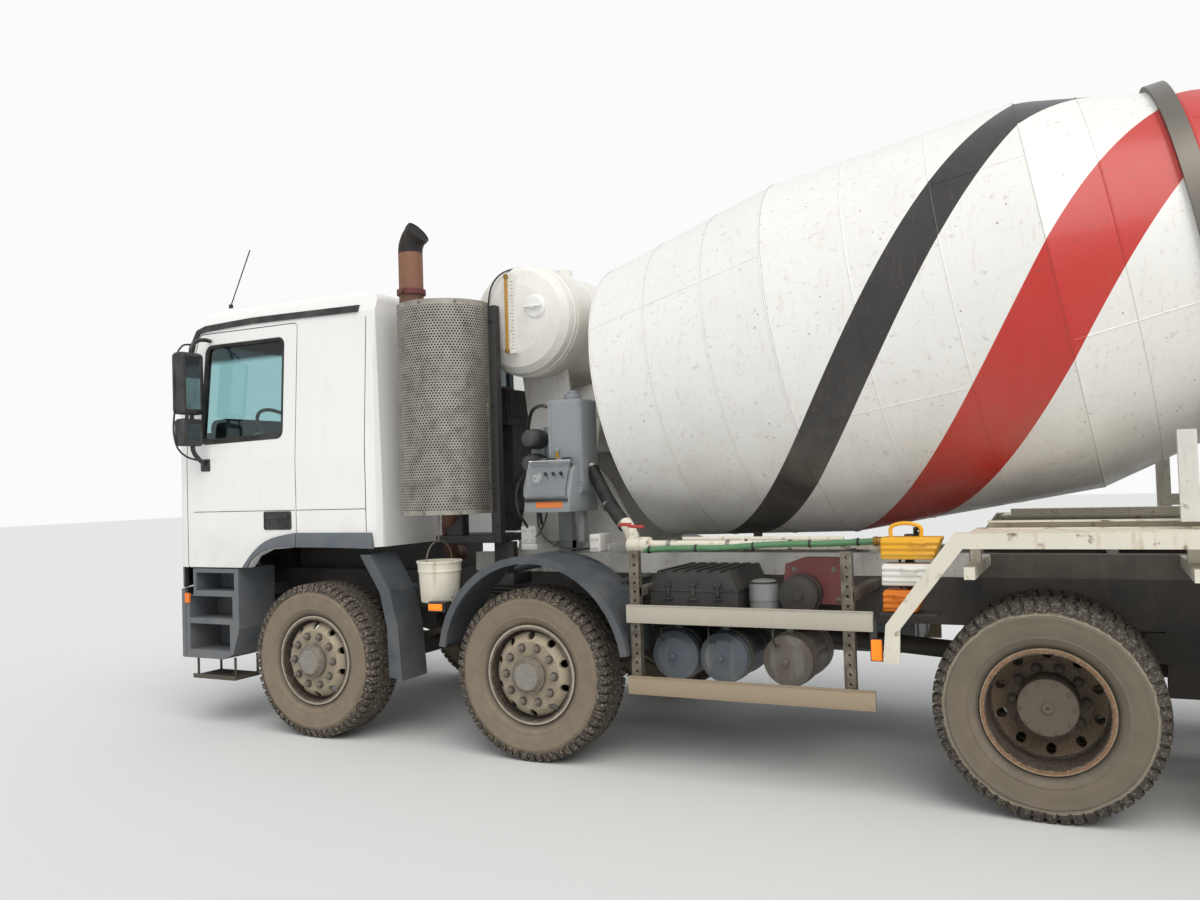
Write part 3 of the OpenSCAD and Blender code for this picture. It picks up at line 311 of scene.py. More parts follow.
def plastic(name, colour, roughness=0.55, grain_mm=2.0, amount=0.45, high=1.6, dirt="8B8174", areas=(),
            low=0.35):
    """Moulded plastic: one colour right through, with a fine leathery grain pressed into it."""
    made, tree, shader, place = material(name)
    worn = mix(tree, times(tree, blotches(tree, place, 150, 0.35, 0.8), 0.18), srgb(colour), srgb("9A9890"))
    for other, *spans in areas:
        worn = mix(tree, inside(tree, place, *spans), worn, srgb(other))
    dirty, share = dust(tree, place, worn, low, high, amount, dirt)
    tree.links.new(dirty, shader.inputs["Base Color"])
    tree.links.new(spread(tree, share, 0.0, 1.0, roughness, 0.9), shader.inputs["Roughness"])
    grain = add(tree, "TexVoronoi", Vector=place, Scale=1000 / grain_mm)
    bump(tree, shader, grain.outputs[0], 0.3, 0.3)
    return made


arch_plastic = plastic("Grained grey-blue plastic", "59616A")
trim_plastic = plastic("Cab trim, black and grey-blue", "1C1C1F", 0.4, 3.0, 0.15,
                       areas=(("59616A", (-0.56, 0.2), None, (1.15, 1.5)),))
black_plastic = plastic("Grained black plastic", "1B1B1C", 0.5, 2.0, 0.3)
gloss_black = plastic("Smooth black plastic", "141415", 0.25, 5.0, 0.1)
seal_rubber = plastic("Black window rubber", "151516", 0.6, 4.0, 0.05)
guard_plastic = plastic("Dark blue-grey mudguard plastic", "38414B", 0.45, 3.0, 0.35, 1.5)
chock_plastic = plastic("Polypropylene in yellow, white and orange", "EFB010", 0.35, 4.0, 0.08, 1.5, areas=(
    ("E8E6DE", (-4.2, -3.7), None, (1.088, 1.207)), ("E07A14", (-4.2, -3.7), None, (0.9, 1.088))))
seat_trim = plastic("Charcoal cab trim", "2C2E31", 0.7, 1.5, 0.0)
dash_plastic = plastic("Dark blue-grey dashboard", "343A42", 0.6, 1.5, 0.0)
filter_black = plastic("Black filter bowl", "26282B", 0.35, 4.0, 0.2, 2.4)
red_plastic = plastic("Red lever plastic", "B3241C", 0.35, 3.0, 0.1)
orange_label = plastic("Blank orange label", "E8791E", 0.4, 5.0, 0.1, 2.0)

# %% Seat cloth
# Woven cloth: threads 1.6 mm apart are drawn 3 mm apart, so that they show.
seat_cloth, tree, shader, place = material("Woven charcoal seat cloth", Roughness=0.85, Sheen_Weight=0.3)
weave = add(tree, "TexWave", {"bands_direction": "X"}, Vector=place, Scale=110.0).outputs[1]
cross_weave = add(tree, "TexWave", {"bands_direction": "Z"}, Vector=place, Scale=110.0).outputs[1]
threads = times(tree, weave, cross_weave)
tree.links.new(mix(tree, threads, srgb("24272C"), srgb("474C55")), shader.inputs["Base Color"])
bump(tree, shader, threads, 0.6, 0.5)

# %% [markdown]
# ## Tyre rubber
# A sidewall's colour lies in rings: brown dust over most of it, a band of painted shade where the
# bead meets the rim, and shoulder lugs that are scuffed and speckled with pale grit. The finish
# reads the distance from the axle that each point of a tyre stores.

# %% Tyre rubber


def tyre_rubber(name, wall, worn, line):
    """Rubber with rings of dirt and a ring of painted shade at the rim: the wall's and the worn tread's
    colours, and how strong the line is.
    """
    made, tree, shader, place = material(name, Roughness=0.85)
    way = add(tree, "Attribute", {"attribute_name": "from_axle"}).outputs["Fac"]
    wavy = sums(tree, "ADD", way, spread(tree, blotches(tree, place, 140, 0.3, 0.7), 0.0, 1.0, -0.006, 0.006))
    mud = blotches(tree, place, 90, 0.25, 0.75, 8.0)
    grit = blotches(tree, place, 12, 0.52, 0.62, 3.0)
    colour = mix(tree, times(tree, mud, 0.45), srgb(wall), srgb("5C5145"))
    # Painted shade in the crease where the tyre meets the rim: darkest at the flange, gone 0.33 m from the
    # axle.
    bead = spread(tree, wavy, 0.305, 0.33, 1.0, 0.0)
    colour = mix(tree, times(tree, bead, 0.8), colour, srgb("3A342D"))
    lugs = spread(tree, wavy, 0.452, 0.47)
    tread = mix(tree, times(tree, grit, 0.8), srgb("38322C"), srgb(worn))
    colour = mix(tree, times(tree, lugs, 0.92), colour, tread)
    band = sums(tree, "COMPARE", wavy, 0.463, 0.006)
    colour = mix(tree, times(tree, band, line), colour, srgb("B0A692"))
    tree.links.new(colour, shader.inputs["Base Color"])
    bump(tree, shader, grit, 1.0, 0.5)
    return made


front_rubber = tyre_rubber("Tyre rubber with brown dust and painted shade at the rim", "877A68", "978C7B", 0.0)
rear_rubber = tyre_rubber("Tyre rubber with dark mud and painted shade at the rim", "766C5E", "7A7265", 0.5)

# %% [markdown]
# ## Wheel finishes
# Steel wheels are painted silver, but road dust has turned them beige. The colour changes in
# rings, so the finish works out the distance from the nearest axle in the plane of the wheel.
# A dark ring in the rim's well, between the disc and the tyre, is painted shade, and a pale
# ring on the flange's lip is a painted highlight.

# %% Wheel paint


def wheel_paint(name, rings, roughness=0.6):
    """Paint under dust, painted shade and painted highlights in rings: each ring is the radius where it
    starts, and a colour.
    """
    made, tree, shader, place = material(name)
    flat = add(tree, "VectorMath", {"operation": "MULTIPLY"}, i0=place, i1=(1, 0, 1)).outputs[0]
    way = None
    for x in AXLE_X:
        here = add(tree, "VectorMath", {"operation": "DISTANCE"}, i0=flat,
                   i1=(axle_1 + x, 0, AXLE_Z)).outputs["Value"]
        way = here if way is None else sums(tree, "MINIMUM", way, here)
    wavy = sums(tree, "ADD", way, spread(tree, blotches(tree, place, 60, 0.3, 0.7), 0.0, 1.0, -0.002, 0.002))
    colour = srgb(rings[0][1])
    for start, code in rings[1:]:
        colour = mix(tree, spread(tree, wavy, start - 0.0015, start + 0.0015), colour, srgb(code))
    mud = blotches(tree, place, 45, 0.35, 0.75, 8.0)
    grit = blotches(tree, place, 9, 0.5, 0.65, 4.0)
    dirty = mix(tree, times(tree, mud, 0.35), colour, srgb("6B5D4D"))
    tree.links.new(mix(tree, times(tree, grit, 0.25), dirty, srgb("C2B8A6")), shader.inputs["Base Color"])
    tree.links.new(spread(tree, mud, 0.0, 1.0, roughness - 0.1, roughness + 0.2), shader.inputs["Roughness"])
    bump(tree, shader, grit, 0.4, 0.4)
    return made


# The ring from 0.25 is painted shade in the rim's well; the ring from 0.2935 is a painted highlight on the
# flange's lip.
front_wheel = wheel_paint("Silver wheel paint under beige dust", (
    (0, "86837B"), (0.078, "6F675C"), (0.112, "9A8D79"), (0.2, "A69981"), (0.25, "3E372F"), (0.284, "8F8574"),
    (0.2935, "C9C1AF")))
# The ring from 0.262 is painted shade in the rim's well; the ring from 0.2935 is a painted highlight on the
# flange's lip.
rear_wheel = wheel_paint("Rusty brown wheel paint with painted shade and highlight", (
    (0, "6E675D"), (0.098, "554D44"), (0.14, "6B5A49"), (0.205, "7A6750"), (0.262, "3E342B"),
    (0.278, "7E5A3C"), (0.2935, "A08C72")))

# %% Metals
galvanised = paint("Weathered galvanised rail", "B9B3A4", 0.55, 0.3, 1.6, 0.0, "8F8370", rust=0.15, areas=(
    ("A08E76", None, (1.184, 1.22), (0.4, 0.57)), ("6A6761", None, (0.4, 1.1845), (0.45, 1.3))))


def metal(name, colour, roughness, patch_mm=30, stain="6E6256", share=0.4):
    """Bare metal: its own colour in the reflection, duller where it is stained."""
    made, tree, shader, place = material(name, Metallic=1.0)
    stains = blotches(tree, place, patch_mm, 0.4, 0.75, 6.0)
    tree.links.new(mix(tree, times(tree, stains, share), srgb(colour), srgb(stain)),
                   shader.inputs["Base Color"])
    tree.links.new(spread(tree, stains, 0.0, 1.0, roughness, min(roughness + 0.35, 1.0)),
                   shader.inputs["Roughness"])
    return made


bare_steel = metal("Worn bright steel", "A9A7A2", 0.35)
post_steel = metal("Dusty galvanised post", "8F887C", 0.6, 60, "544C42", 0.65)
guard_steel = metal("Dull perforated stainless sheet", "B4AFA5", 0.5, 90, "6B665D", 0.5)
brass = metal("Dull brass", "B08D4A", 0.4, 20, "5E4B2A", 0.5)
mirror_glass, *_ = material("Silvered mirror", Metallic=1.0, Roughness=0.03, Base_Color=srgb("D8DDE0"))

# %% Glass and lenses
tinted_glass, *_ = material("Green-tinted safety glass", Base_Color=srgb("C2DFE0"), Roughness=0.02,
                            Transmission_Weight=1.0, IOR=1.5)
# A dark band of painted shade lies along the top of a door's window.
door_glass_painted_shade, tree, shader, place = material("Door glass with a dark top band", Roughness=0.02,
                                          Transmission_Weight=1.0, IOR=1.5)
window_height = add(tree, "SeparateXYZ", Vector=place).outputs["Z"]
tree.links.new(mix(tree, spread(tree, window_height, 2.61, 2.65), srgb("C2DFE0"), srgb("3A4648")),
               shader.inputs["Base Color"])
clear_cover, *_ = material("Clear polycarbonate", Base_Color=srgb("E4E8EA"), Roughness=0.12,
                           Transmission_Weight=0.9, IOR=1.5)
lamp_glass, *_ = material("Clear lamp glass", Base_Color=srgb("EDEFF0"), Roughness=0.05,
                          Transmission_Weight=0.7, IOR=1.5)
amber_oil, *_ = material("Tube of amber fluid", Base_Color=srgb("D9A437"), Roughness=0.08,
                         Transmission_Weight=0.5, IOR=1.45)
amber_lens, *_ = material("Amber lens, lit", Base_Color=srgb("F07A12"), Roughness=0.2,
                          Emission_Color=srgb("FF6A08"), Emission_Strength=0.9)
amber_dull, *_ = material("Amber lens", Base_Color=srgb("D8760F"), Roughness=0.15, Coat_Weight=0.5)
red_lens, *_ = material("Red lens", Base_Color=srgb("A3120E"), Roughness=0.15, Coat_Weight=0.5)
gauge_face, tree, shader, place = material("White dial under glass", Roughness=0.3, Coat_Weight=1.0,
                                           Coat_Roughness=0.02)
dial_marks = blotches(tree, place, 14, 0.6, 0.66, 1.0)
tree.links.new(mix(tree, dial_marks, srgb("E6E6E0"), srgb("2A2A2C")), shader.inputs["Base Color"])
lamp_mix, tree, shader, place = material("Lamp lenses on their solids", Roughness=0.15, Coat_Weight=0.5)
lamp_colour = mix(tree, inside(tree, place, (1.1, 1.27), (1.1, 1.2), (0.8, 1.0)), srgb("D4D7D9"),
                  srgb("F07A12"))
lamp_colour = mix(tree, inside(tree, place, (-7.0, -6.8), None, (0.5, 0.8)), lamp_colour, srgb("2A2A2C"))
tree.links.new(lamp_colour, shader.inputs["Base Color"])

# %% [markdown]
# ## Drum paint
# The drum is white with two broad stripes that wind round it. The stripes follow the drum's
# own axis: its coordinates are turned so that z runs along the drum, and a stripe is where
# the angle round the drum keeps step with the way along it. The same coordinates tell the
# bare roller track and the cement-grey inside from the painted shell.

# %% Drum paint
DRUM_TILT = math.radians(9.85)
drum_front = at(-2.09, 0, 2.22)

drum_paint, tree, shader, place = material("White drum paint with wound stripes", Coat_Weight=0.2,
                                           Coat_Roughness=0.15)
in_drum = add(tree, "Mapping", {"vector_type": "TEXTURE"}, Vector=place, Location=drum_front,
              Rotation=(0, DRUM_TILT - math.pi / 2, 0)).outputs[0]
own = add(tree, "SeparateXYZ", Vector=in_drum)
drum_angle = sums(tree, "ARCTAN2", own.outputs[1], own.outputs[0])
drum_way = own.outputs[2]
from_drum_axis = add(tree, "VectorMath", {"operation": "LENGTH"}, i0=add(
    tree, "CombineXYZ", X=own.outputs[0], Y=own.outputs[1]).outputs[0]).outputs["Value"]
STRIPE_PITCH = 5.6
drum_turns = sums(tree, "ADD", sums(tree, "DIVIDE", drum_way, STRIPE_PITCH),
                  sums(tree, "DIVIDE", drum_angle, 2 * math.pi))


def stripe(offset, width):
    """1 inside a wound stripe that starts offset of a turn on and is width of a pitch wide."""
    part = sums(tree, "FRACT", sums(tree, "ADD", drum_turns, offset))
    return sums(tree, "LESS_THAN", part, width)


tone = blotches(tree, place, 900, 0.2, 0.8, 3.0)
white = mix(tree, times(tree, tone, 0.1), srgb("F3F1EC"), srgb("B9B09C"))
red = mix(tree, stripe(0.3, 0.085), white, srgb("C4281D"))
black = mix(tree, stripe(0.46, 0.05), red, srgb("201F21"))
rusty = rusted(tree, place, black, 0.22, 40)
specks = add(tree, "TexVoronoi", Vector=place, Scale=9.0)
speck = sums(tree, "LESS_THAN", specks.outputs["Distance"], 0.05)
fine_specks = add(tree, "TexVoronoi", Vector=place, Scale=24.0)
fine_speck = sums(tree, "LESS_THAN", fine_specks.outputs["Distance"], 0.055)
chipped = mix(tree, times(tree, sums(tree, "MAXIMUM", speck, fine_speck), 0.6), rusty, srgb("6B4A35"))
dirty, share = dust(tree, place, chipped, 1.1, 2.2, 0.55, "9B9284")
track = times(tree, sums(tree, "COMPARE", drum_way, 3.28, 0.0455),
              sums(tree, "GREATER_THAN", from_drum_axis, 0.9575))
tracked = mix(tree, track, dirty, srgb("7D776E"))
normal = add(tree, "TexCoord").outputs["Normal"]
to_axis = add(tree, "VectorMath", {"operation": "SUBTRACT"}, i0=place, i1=at(-3.9, 0, 2.53)).outputs[0]
inward = sums(tree, "LESS_THAN", add(tree, "VectorMath", {"operation": "DOT_PRODUCT"}, i0=normal,
                                     i1=to_axis).outputs["Value"], -0.05)
tree.links.new(mix(tree, inward, tracked, srgb("6E6A62")), shader.inputs["Base Color"])
tree.links.new(spread(tree, sums(tree, "MAXIMUM", share, inward), 0.0, 1.0, 0.36, 0.9),
               shader.inputs["Roughness"])
tree.links.new(times(tree, track, 0.85), shader.inputs["Metallic"])
bump(tree, shader, blotches(tree, place, 14, 0.0, 1.0, 2.0), 0.3, 0.25)

# %% [markdown]
# ## Finishes on the solids
# A solid whose shape is right keeps its mesh and only gets its finish.

# %% Finishes by node
finish_of = {
    "chassis_frame": chassis_paint, "mixer_subframe": subframe_paint_with_painted_shade, "engine": engine_cast,
    "axles": knuckle_paint, "bumper": arch_plastic, "lamps": lamp_mix, "front_mudguards": guard_plastic,
    "rear_mudguards": cream_paint, "side_guards": galvanised, "tanks": tank_paint,
    "battery_box": box_black, "exhaust_guard": guard_steel, "exhaust_stack": stack_paint,
    "air_intake": black_plastic, "water_tank": tank_white, "controls_and_hoses": grey_paint,
    "front_pedestal": subframe_paint_with_painted_shade, "rear_pedestal": hopper_paint, "hopper_and_discharge": hopper_paint,
    "stowed_gear": chock_plastic, "cab_shell": cab_paint, "cab_trim": trim_plastic,
    "cab_glass": tinted_glass, "cab_interior": seat_trim, "drum": drum_paint,
    "chute_swivel": hopper_paint, "chute": hopper_paint, "chute_flap": hopper_paint,
    "cylinder_barrel": chassis_paint, "cylinder_rod": bare_steel,
}
starts = {"door_glass": door_glass_painted_shade, "door_": door_paint, "mirror": black_plastic,
          "knuckle": knuckle_paint, "rim_": front_wheel, "rims_": rear_wheel, "tyre": front_rubber,
          "roller": bare_steel}
for name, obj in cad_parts.items():
    chosen = finish_of.get(name) or next(m for start, m in starts.items() if name.startswith(start))
    obj.data.materials.clear()
    obj.data.materials.append(chosen)

# %% [markdown]
# ## Making helpers
# Most pieces start as a primitive, a section spun round an axis, or a tube along a route.
# An operator acts on all that is selected, so each helper first selects its own object only.

# %% Selecting, joining and finishing


def only(obj):
    """Selects one object and nothing else."""
    bpy.ops.object.select_all(action="DESELECT")
    obj.select_set(True)
    bpy.context.view_layer.objects.active = obj
    return obj


def joined(objs):
    """Joins objects into the first one."""
    only(objs[0])
    for obj in objs:
        obj.select_set(True)
    bpy.ops.object.join()
    return objs[0]


def piece(obj, name, body, slot, finish, *replaced, smooth=30):
    """Gives a finished piece its name, finish and body, with its place in its mesh; its slot is not used."""
    only(obj)
    bpy.ops.object.transform_apply(location=True, rotation=True, scale=True)
    obj.name = name
    obj.data.materials.clear()
    obj.data.materials.append(finish)
    if smooth:
        bpy.ops.object.shade_smooth_by_angle(angle=math.radians(smooth))
    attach(obj, body)
    if replaced:
        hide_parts(*replaced)
    return obj


def edit(obj, *steps):
    """Runs edit-mode operators, each (operator, settings), on the whole mesh of an object."""
    only(obj)
    bpy.ops.object.mode_set(mode="EDIT")
    for operator, settings in steps:
        bpy.ops.mesh.select_all(action="SELECT")
        operator(**settings)
    bpy.ops.object.mode_set(mode="OBJECT")
    return obj


def outwards(obj):
    return edit(obj, (bpy.ops.mesh.normals_make_consistent, {"inside": False}))


def bevelled(obj, size_mm, segments=2):
    return edit(obj, (bpy.ops.mesh.bevel,
                      {"offset": size_mm / 1000, "segments": segments, "affect": "EDGES"}))


def cut(obj, tool):
    """Takes one shape out of another."""
    only(obj)
    modifier = obj.modifiers.new("Cut", "BOOLEAN")
    modifier.operation, modifier.solver, modifier.object = "DIFFERENCE", "EXACT", tool
    bpy.ops.object.modifier_apply(modifier=modifier.name)
    bpy.data.objects.remove(tool)
    return obj


# %% Blocks, rods, tubes and plates


def block(low, high, bevel_mm=4.0, segments=2):
    """A box between two corners, in metres from the first axle, with its edges bevelled."""
    low, high = at(*low), at(*high)
    bpy.ops.object.select_all(action="DESELECT")
    bpy.ops.mesh.primitive_cube_add(size=1, location=(low + high) / 2)
    obj = bpy.context.object
    obj.scale = high - low
    bpy.ops.object.transform_apply(location=True, rotation=True, scale=True)
    return bevelled(obj, bevel_mm, segments) if bevel_mm else obj


def rod(a, b, radius, sides=16, bevel_mm=0.0):
    """A round bar between two places, or a prism where it has few sides."""
    a, b = at(*a), at(*b)
    bpy.ops.object.select_all(action="DESELECT")
    turn = (b - a).to_track_quat("Z", "Y").to_euler()
    bpy.ops.mesh.primitive_cylinder_add(vertices=sides, radius=radius, depth=(b - a).length,
                                        location=(a + b) / 2, rotation=turn)
    obj = bpy.context.object
    bpy.ops.object.transform_apply(location=True, rotation=True, scale=True)
    return bevelled(obj, bevel_mm) if bevel_mm else obj


def mesh_of(name, points, edges=(), faces=()):
    """A mesh object from points, edges and faces."""
    mesh = bpy.data.meshes.new(name)
    mesh.from_pydata([tuple(p) for p in points], list(edges), list(faces))
    obj = bpy.data.objects.new(name, mesh)
    bpy.context.collection.objects.link(obj)
    return only(obj)


def tube(points, radius, closed=False, smooth=True, sides=3):
    """A round tube through places from the first axle, bent smoothly or with sharp turns."""
    curve = bpy.data.curves.new("Route", "CURVE")
    curve.dimensions = "3D"
    curve.resolution_u = 5
    curve.bevel_depth = radius
    curve.bevel_resolution = sides
    curve.use_fill_caps = not closed
    spline = curve.splines.new("BEZIER" if smooth else "POLY")
    knots = spline.bezier_points if smooth else spline.points
    knots.add(len(points) - 1)
    for knot, place in zip(knots, points):
        if smooth:
            knot.co = at(*place)
            knot.handle_left_type = knot.handle_right_type = "AUTO"
        else:
            knot.co = (*at(*place), 1.0)
    spline.use_cyclic_u = closed
    obj = bpy.data.objects.new("Tube", curve)
    bpy.context.collection.objects.link(obj)
    only(obj)
    bpy.ops.object.convert(target="MESH")
    return bpy.context.object


def spun(rows, centre, axis, steps=48):
    """Spins a section of rows [radius, way along the axis] once round the axis."""
    centre, axis = at(*centre), Vector(axis)
    turn = axis.to_track_quat("Z", "Y")
    points = [centre + turn @ Vector((r, 0, w)) for r, w in rows]
    obj = mesh_of("Spun", points, [(i, i + 1) for i in range(len(rows) - 1)])
    return edit(obj, (bpy.ops.mesh.spin,
                      {"steps": steps, "angle": 2 * math.pi, "center": centre, "axis": axis}),
                (bpy.ops.mesh.remove_doubles, {"threshold": 0.00005}),
                (bpy.ops.mesh.normals_make_consistent, {"inside": False}))


def hoop(inner, outer, half, centre, axis, steps):
    """A flat band round an axis, half wide on each side of its centre."""
    return spun([(inner, -half), (outer, -half), (outer, half), (inner, half), (inner, -half)], centre, axis,
                steps)


def plate(points, out, thickness):
    """A flat plate with an outline of places, its thickness along out."""
    points = [at(*p) for p in points]
    count, rise = len(points), Vector(out).normalized() * thickness
    faces = [tuple(range(count - 1, -1, -1)), tuple(range(count, 2 * count))]
    faces += [(k, (k + 1) % count, count + (k + 1) % count, count + k) for k in range(count)]
    return outwards(mesh_of("Plate", points + [p + rise for p in points], (), faces))


def strip(points, out, width, low, high, closed=True):
    """A flat strip along a line of places, width wide, from low to high along out."""
    points, out = [at(*p) for p in points], Vector(out)
    count, verts = len(points), []
    for k, p in enumerate(points):
        before = points[k - 1] if closed or k else p
        after = points[(k + 1) % count] if closed or k < count - 1 else p
        side = out.cross(after - before).normalized() * width / 2
        verts += [p - side + out * low, p + side + out * low, p + side + out * high, p - side + out * high]
    faces = []
    for k in range(count if closed else count - 1):
        a, b = 4 * k, 4 * ((k + 1) % count)
        faces += [(a + j, a + (j + 1) % 4, b + (j + 1) % 4, b + j) for j in range(4)]
    if not closed:
        last = 4 * count
        faces += [(3, 2, 1, 0), (last - 4, last - 3, last - 2, last - 1)]
    return outwards(mesh_of("Strip", verts, (), faces))


def rounded(rows, steps=5):
    """Corners [a, b, radius] as one outline with round corners."""
    points = []
    for k, (a, b, radius) in enumerate(rows):
        here = Vector((a, b))
        before = (Vector(rows[k - 1][:2]) - here).normalized()
        after = (Vector(rows[(k + 1) % len(rows)][:2]) - here).normalized()
        if radius <= 0:
            points.append(here)
            continue
        half = math.acos(max(-1.0, min(1.0, before.dot(after)))) / 2
        hub = here + (before + after).normalized() * radius / math.sin(half)
        first = here + before * radius / math.tan(half) - hub
        last = here + after * radius / math.tan(half) - hub
        start = math.atan2(first.y, first.x)
        sweep = (math.atan2(last.y, last.x) - start + math.pi) % (2 * math.pi) - math.pi
        for i in range(steps + 1):
            t = start + sweep * i / steps
            points.append(hub + radius * Vector((math.cos(t), math.sin(t))))
    return points


def box_line(low, high, radius, steps=5):
    """A rectangle's outline with round corners, from its low to its high corner."""
    (a, b), (c, d) = low, high
    return rounded([(a, b, radius), (c, b, radius), (c, d, radius), (a, d, radius)], steps)


# %% Copies


def moved(obj, matrix):
    """A copy with its own mesh, moved by a matrix; a mirrored mesh is turned right side out."""
    copy = obj.copy()
    copy.data = obj.data.copy()
    copy.data.transform(matrix)
    if matrix.determinant() < 0:
        copy.data.flip_normals()
    bpy.context.collection.objects.link(copy)
    return copy


def shifted(obj, x=0.0, y=0.0, z=0.0):
    return moved(obj, Matrix.Translation((x, y, z)))


def mirrored(obj):
    """The same shape on the other side of the truck."""
    return moved(obj, Matrix.Scale(-1, 4, Vector((0, 1, 0))))


SIDES = (("left", shifted), ("right", mirrored))


def on_both_sides(obj, name, slot, finish, body="chassis"):
    """A finished piece on the left and its mirror image on the right, in place of the shape given."""
    for side, turn in SIDES:
        piece(turn(obj), f"{name}_{side}", body, slot, finish)
    remove_all([obj])


def remove_all(shapes):
    for shape in shapes:
        bpy.data.objects.remove(shape)


def ring_of(obj, count, centre, axis):
    """A shape repeated count times round an axis, as one mesh."""
    centre, copies = at(*centre), [obj]
    for i in range(1, count):
        turn = Matrix.Rotation(2 * math.pi * i / count, 4, Vector(axis))
        copies.append(moved(obj, Matrix.Translation(centre) @ turn @ Matrix.Translation(-centre)))
    return joined(copies)


def bolts(places, out, size_mm=9, high_mm=8, washer_mm=0):
    """Hexagon bolt heads, and washers if asked, at places on surfaces that face out."""
    made = []
    for place in places:
        top = [c + d * high_mm / 1000 for c, d in zip(place, out)]
        foot = [c - d * 0.002 for c, d in zip(place, out)]
        made.append(rod(foot, top, size_mm / 1000, 6, high_mm / 8))
        if washer_mm:
            made.append(rod(foot, [c + d * 0.0025 for c, d in zip(place, out)], washer_mm / 1000, 14))
    return joined(made)


# %% [markdown]
# ## Tyres
# A truck tyre is moulded rubber with a flat tread and lugs on its shoulders, which show from
# the side. One tyre with ribs for the steered wheels and one with blocks for the driven ones
# are spun from a section and given rings of lugs; the others are copies. Each point stores
# its distance from the axle, because the dirt on a sidewall lies in rings.

# %% One tyre of each kind
TYRE_R, BEAD_R = 0.52, 0.2862
FRONT_Y, REAR_Y, TWIN = 1.023, 1.077, 0.346
sidewall = [(BEAD_R, 0.0), (BEAD_R, 0.104), (0.291, 0.11), (0.298, 0.1125), (0.304, 0.113), (0.309, 0.1185),
            (0.322, 0.13), (0.345, 0.1435), (0.348, 0.1462), (0.353, 0.1466), (0.356, 0.145),
            (0.385, 0.1515), (0.412, 0.1535), (0.437, 0.1525), (0.441, 0.154), (0.446, 0.1538),
            (0.449, 0.15), (0.468, 0.144), (0.488, 0.134), (0.5, 0.124), (0.506, 0.11)]
ribs = [(0.506, 0.066), (TYRE_R, 0.064), (TYRE_R, 0.034), (0.508, 0.032), (0.508, 0.021), (TYRE_R, 0.019),
        (TYRE_R, 0.0)]
lug_side = [(0.076, 0.5), (0.076, 0.5192), (0.121, 0.5188), (0.13, 0.5162), (0.1345, 0.512),
            (0.1492, 0.476), (0.1492, 0.468), (0.138, 0.462), (0.12, 0.49)]


def lug_ring(outline, count, share, shift=0.0):
    """A ring of rubber lugs with the outline [way out, radius], each share of its pitch long."""
    long = share * 2 * math.pi * TYRE_R / count
    lug = plate([(shift - long / 2, w, AXLE_Z + r) for w, r in outline], (1, 0, 0), long)
    return ring_of(lug, count, *WHEEL_AXIS)


def tyre(lugs, blocks):
    """A tyre about the middle of the first axle; with blocks, its tread is cut across too."""
    half = sidewall + (ribs if not blocks else [(0.506, 0.0)])
    rows = half + [(r, -w) for r, w in half[-2:0:-1]]
    left = lug_ring(lug_side, lugs, 0.66)
    parts = [spun(rows + rows[:1], *WHEEL_AXIS, 96), left, mirrored(left)]
    if blocks:
        block_side = [(0.008, 0.5), (0.008, TYRE_R), (0.06, TYRE_R), (0.06, 0.5)]
        inner = lug_ring(block_side, lugs, 0.78, 0.014)
        parts += [inner, mirrored(inner)]
    return joined(parts)


ribbed, blocked = tyre(60, False), tyre(54, True)
print("triangles in a tyre:", sum(len(f.vertices) - 2 for f in blocked.data.polygons))

# %% All the tyres


def tyre_at(pattern, axle, y):
    """A copy of a tyre at an axle, with each point's distance from that axle."""
    copy = shifted(pattern, AXLE_X[axle], y, 0)
    centre = at(AXLE_X[axle], 0, AXLE_Z)
    ways = [math.hypot(v.co.x - centre.x, v.co.z - centre.z) for v in copy.data.vertices]
    copy.data.attributes.new("from_axle", "FLOAT", "POINT").data.foreach_set("value", ways)
    return copy


for side, sign in (("left", 1), ("right", -1)):
    for axle in (0, 1):
        piece(tyre_at(ribbed, axle, sign * FRONT_Y), f"tyre_{axle + 1}_{side}_tread",
              f"wheel_{axle + 1}_{side}", "tyre_rubber", front_rubber, f"tyre_{axle + 1}_{side}")
    for axle in (2, 3):
        pair = joined([tyre_at(blocked, axle, sign * (REAR_Y - k * TWIN)) for k in (0, 1)])
        piece(pair, f"tyres_{axle + 1}_{side}_tread", f"wheel_{axle + 1}_{side}", "tyre_rubber", rear_rubber,
              f"tyres_{axle + 1}_{side}")
remove_all((ribbed, blocked))

# %% [markdown]
# ## Wheel nuts and hub bolts
# Ten hexagon nuts hold each wheel, on studs that stand out of them, and a ring of small bolts
# closes the hub, which on a driven axle has a wide round cover with a boss. They are modelled
# once for a steered wheel and once for a pair of driven wheels, and copied to the others.

# %% Nuts and bolts of the wheels
STUD_R, NUTS = 0.1675, 10


def fastenings(face, nut_high, bolt_r, bolt_face, bolt_size):
    """Nuts on a disc whose face is at a way out from the tyre's middle, and the hub's bolts."""
    nut = rod((STUD_R, face - 0.002, AXLE_Z), (STUD_R, face + nut_high, AXLE_Z), 0.0204, 6, 2.0)
    stud = rod((STUD_R, face, AXLE_Z), (STUD_R, face + nut_high + 0.014, AXLE_Z), 0.0105, 12, 1.0)
    collar = rod((STUD_R, face - 0.002, AXLE_Z), (STUD_R, face + 0.004, AXLE_Z), 0.0265, 20)
    small = rod((bolt_r, bolt_face - 0.003, AXLE_Z), (bolt_r, bolt_face + 0.007, AXLE_Z), bolt_size, 6, 1.0)
    nuts, small = ring_of(joined([nut, stud]), NUTS, *WHEEL_AXIS), ring_of(small, NUTS, *WHEEL_AXIS)
    return joined([nuts, small]), ring_of(collar, NUTS, *WHEEL_AXIS)


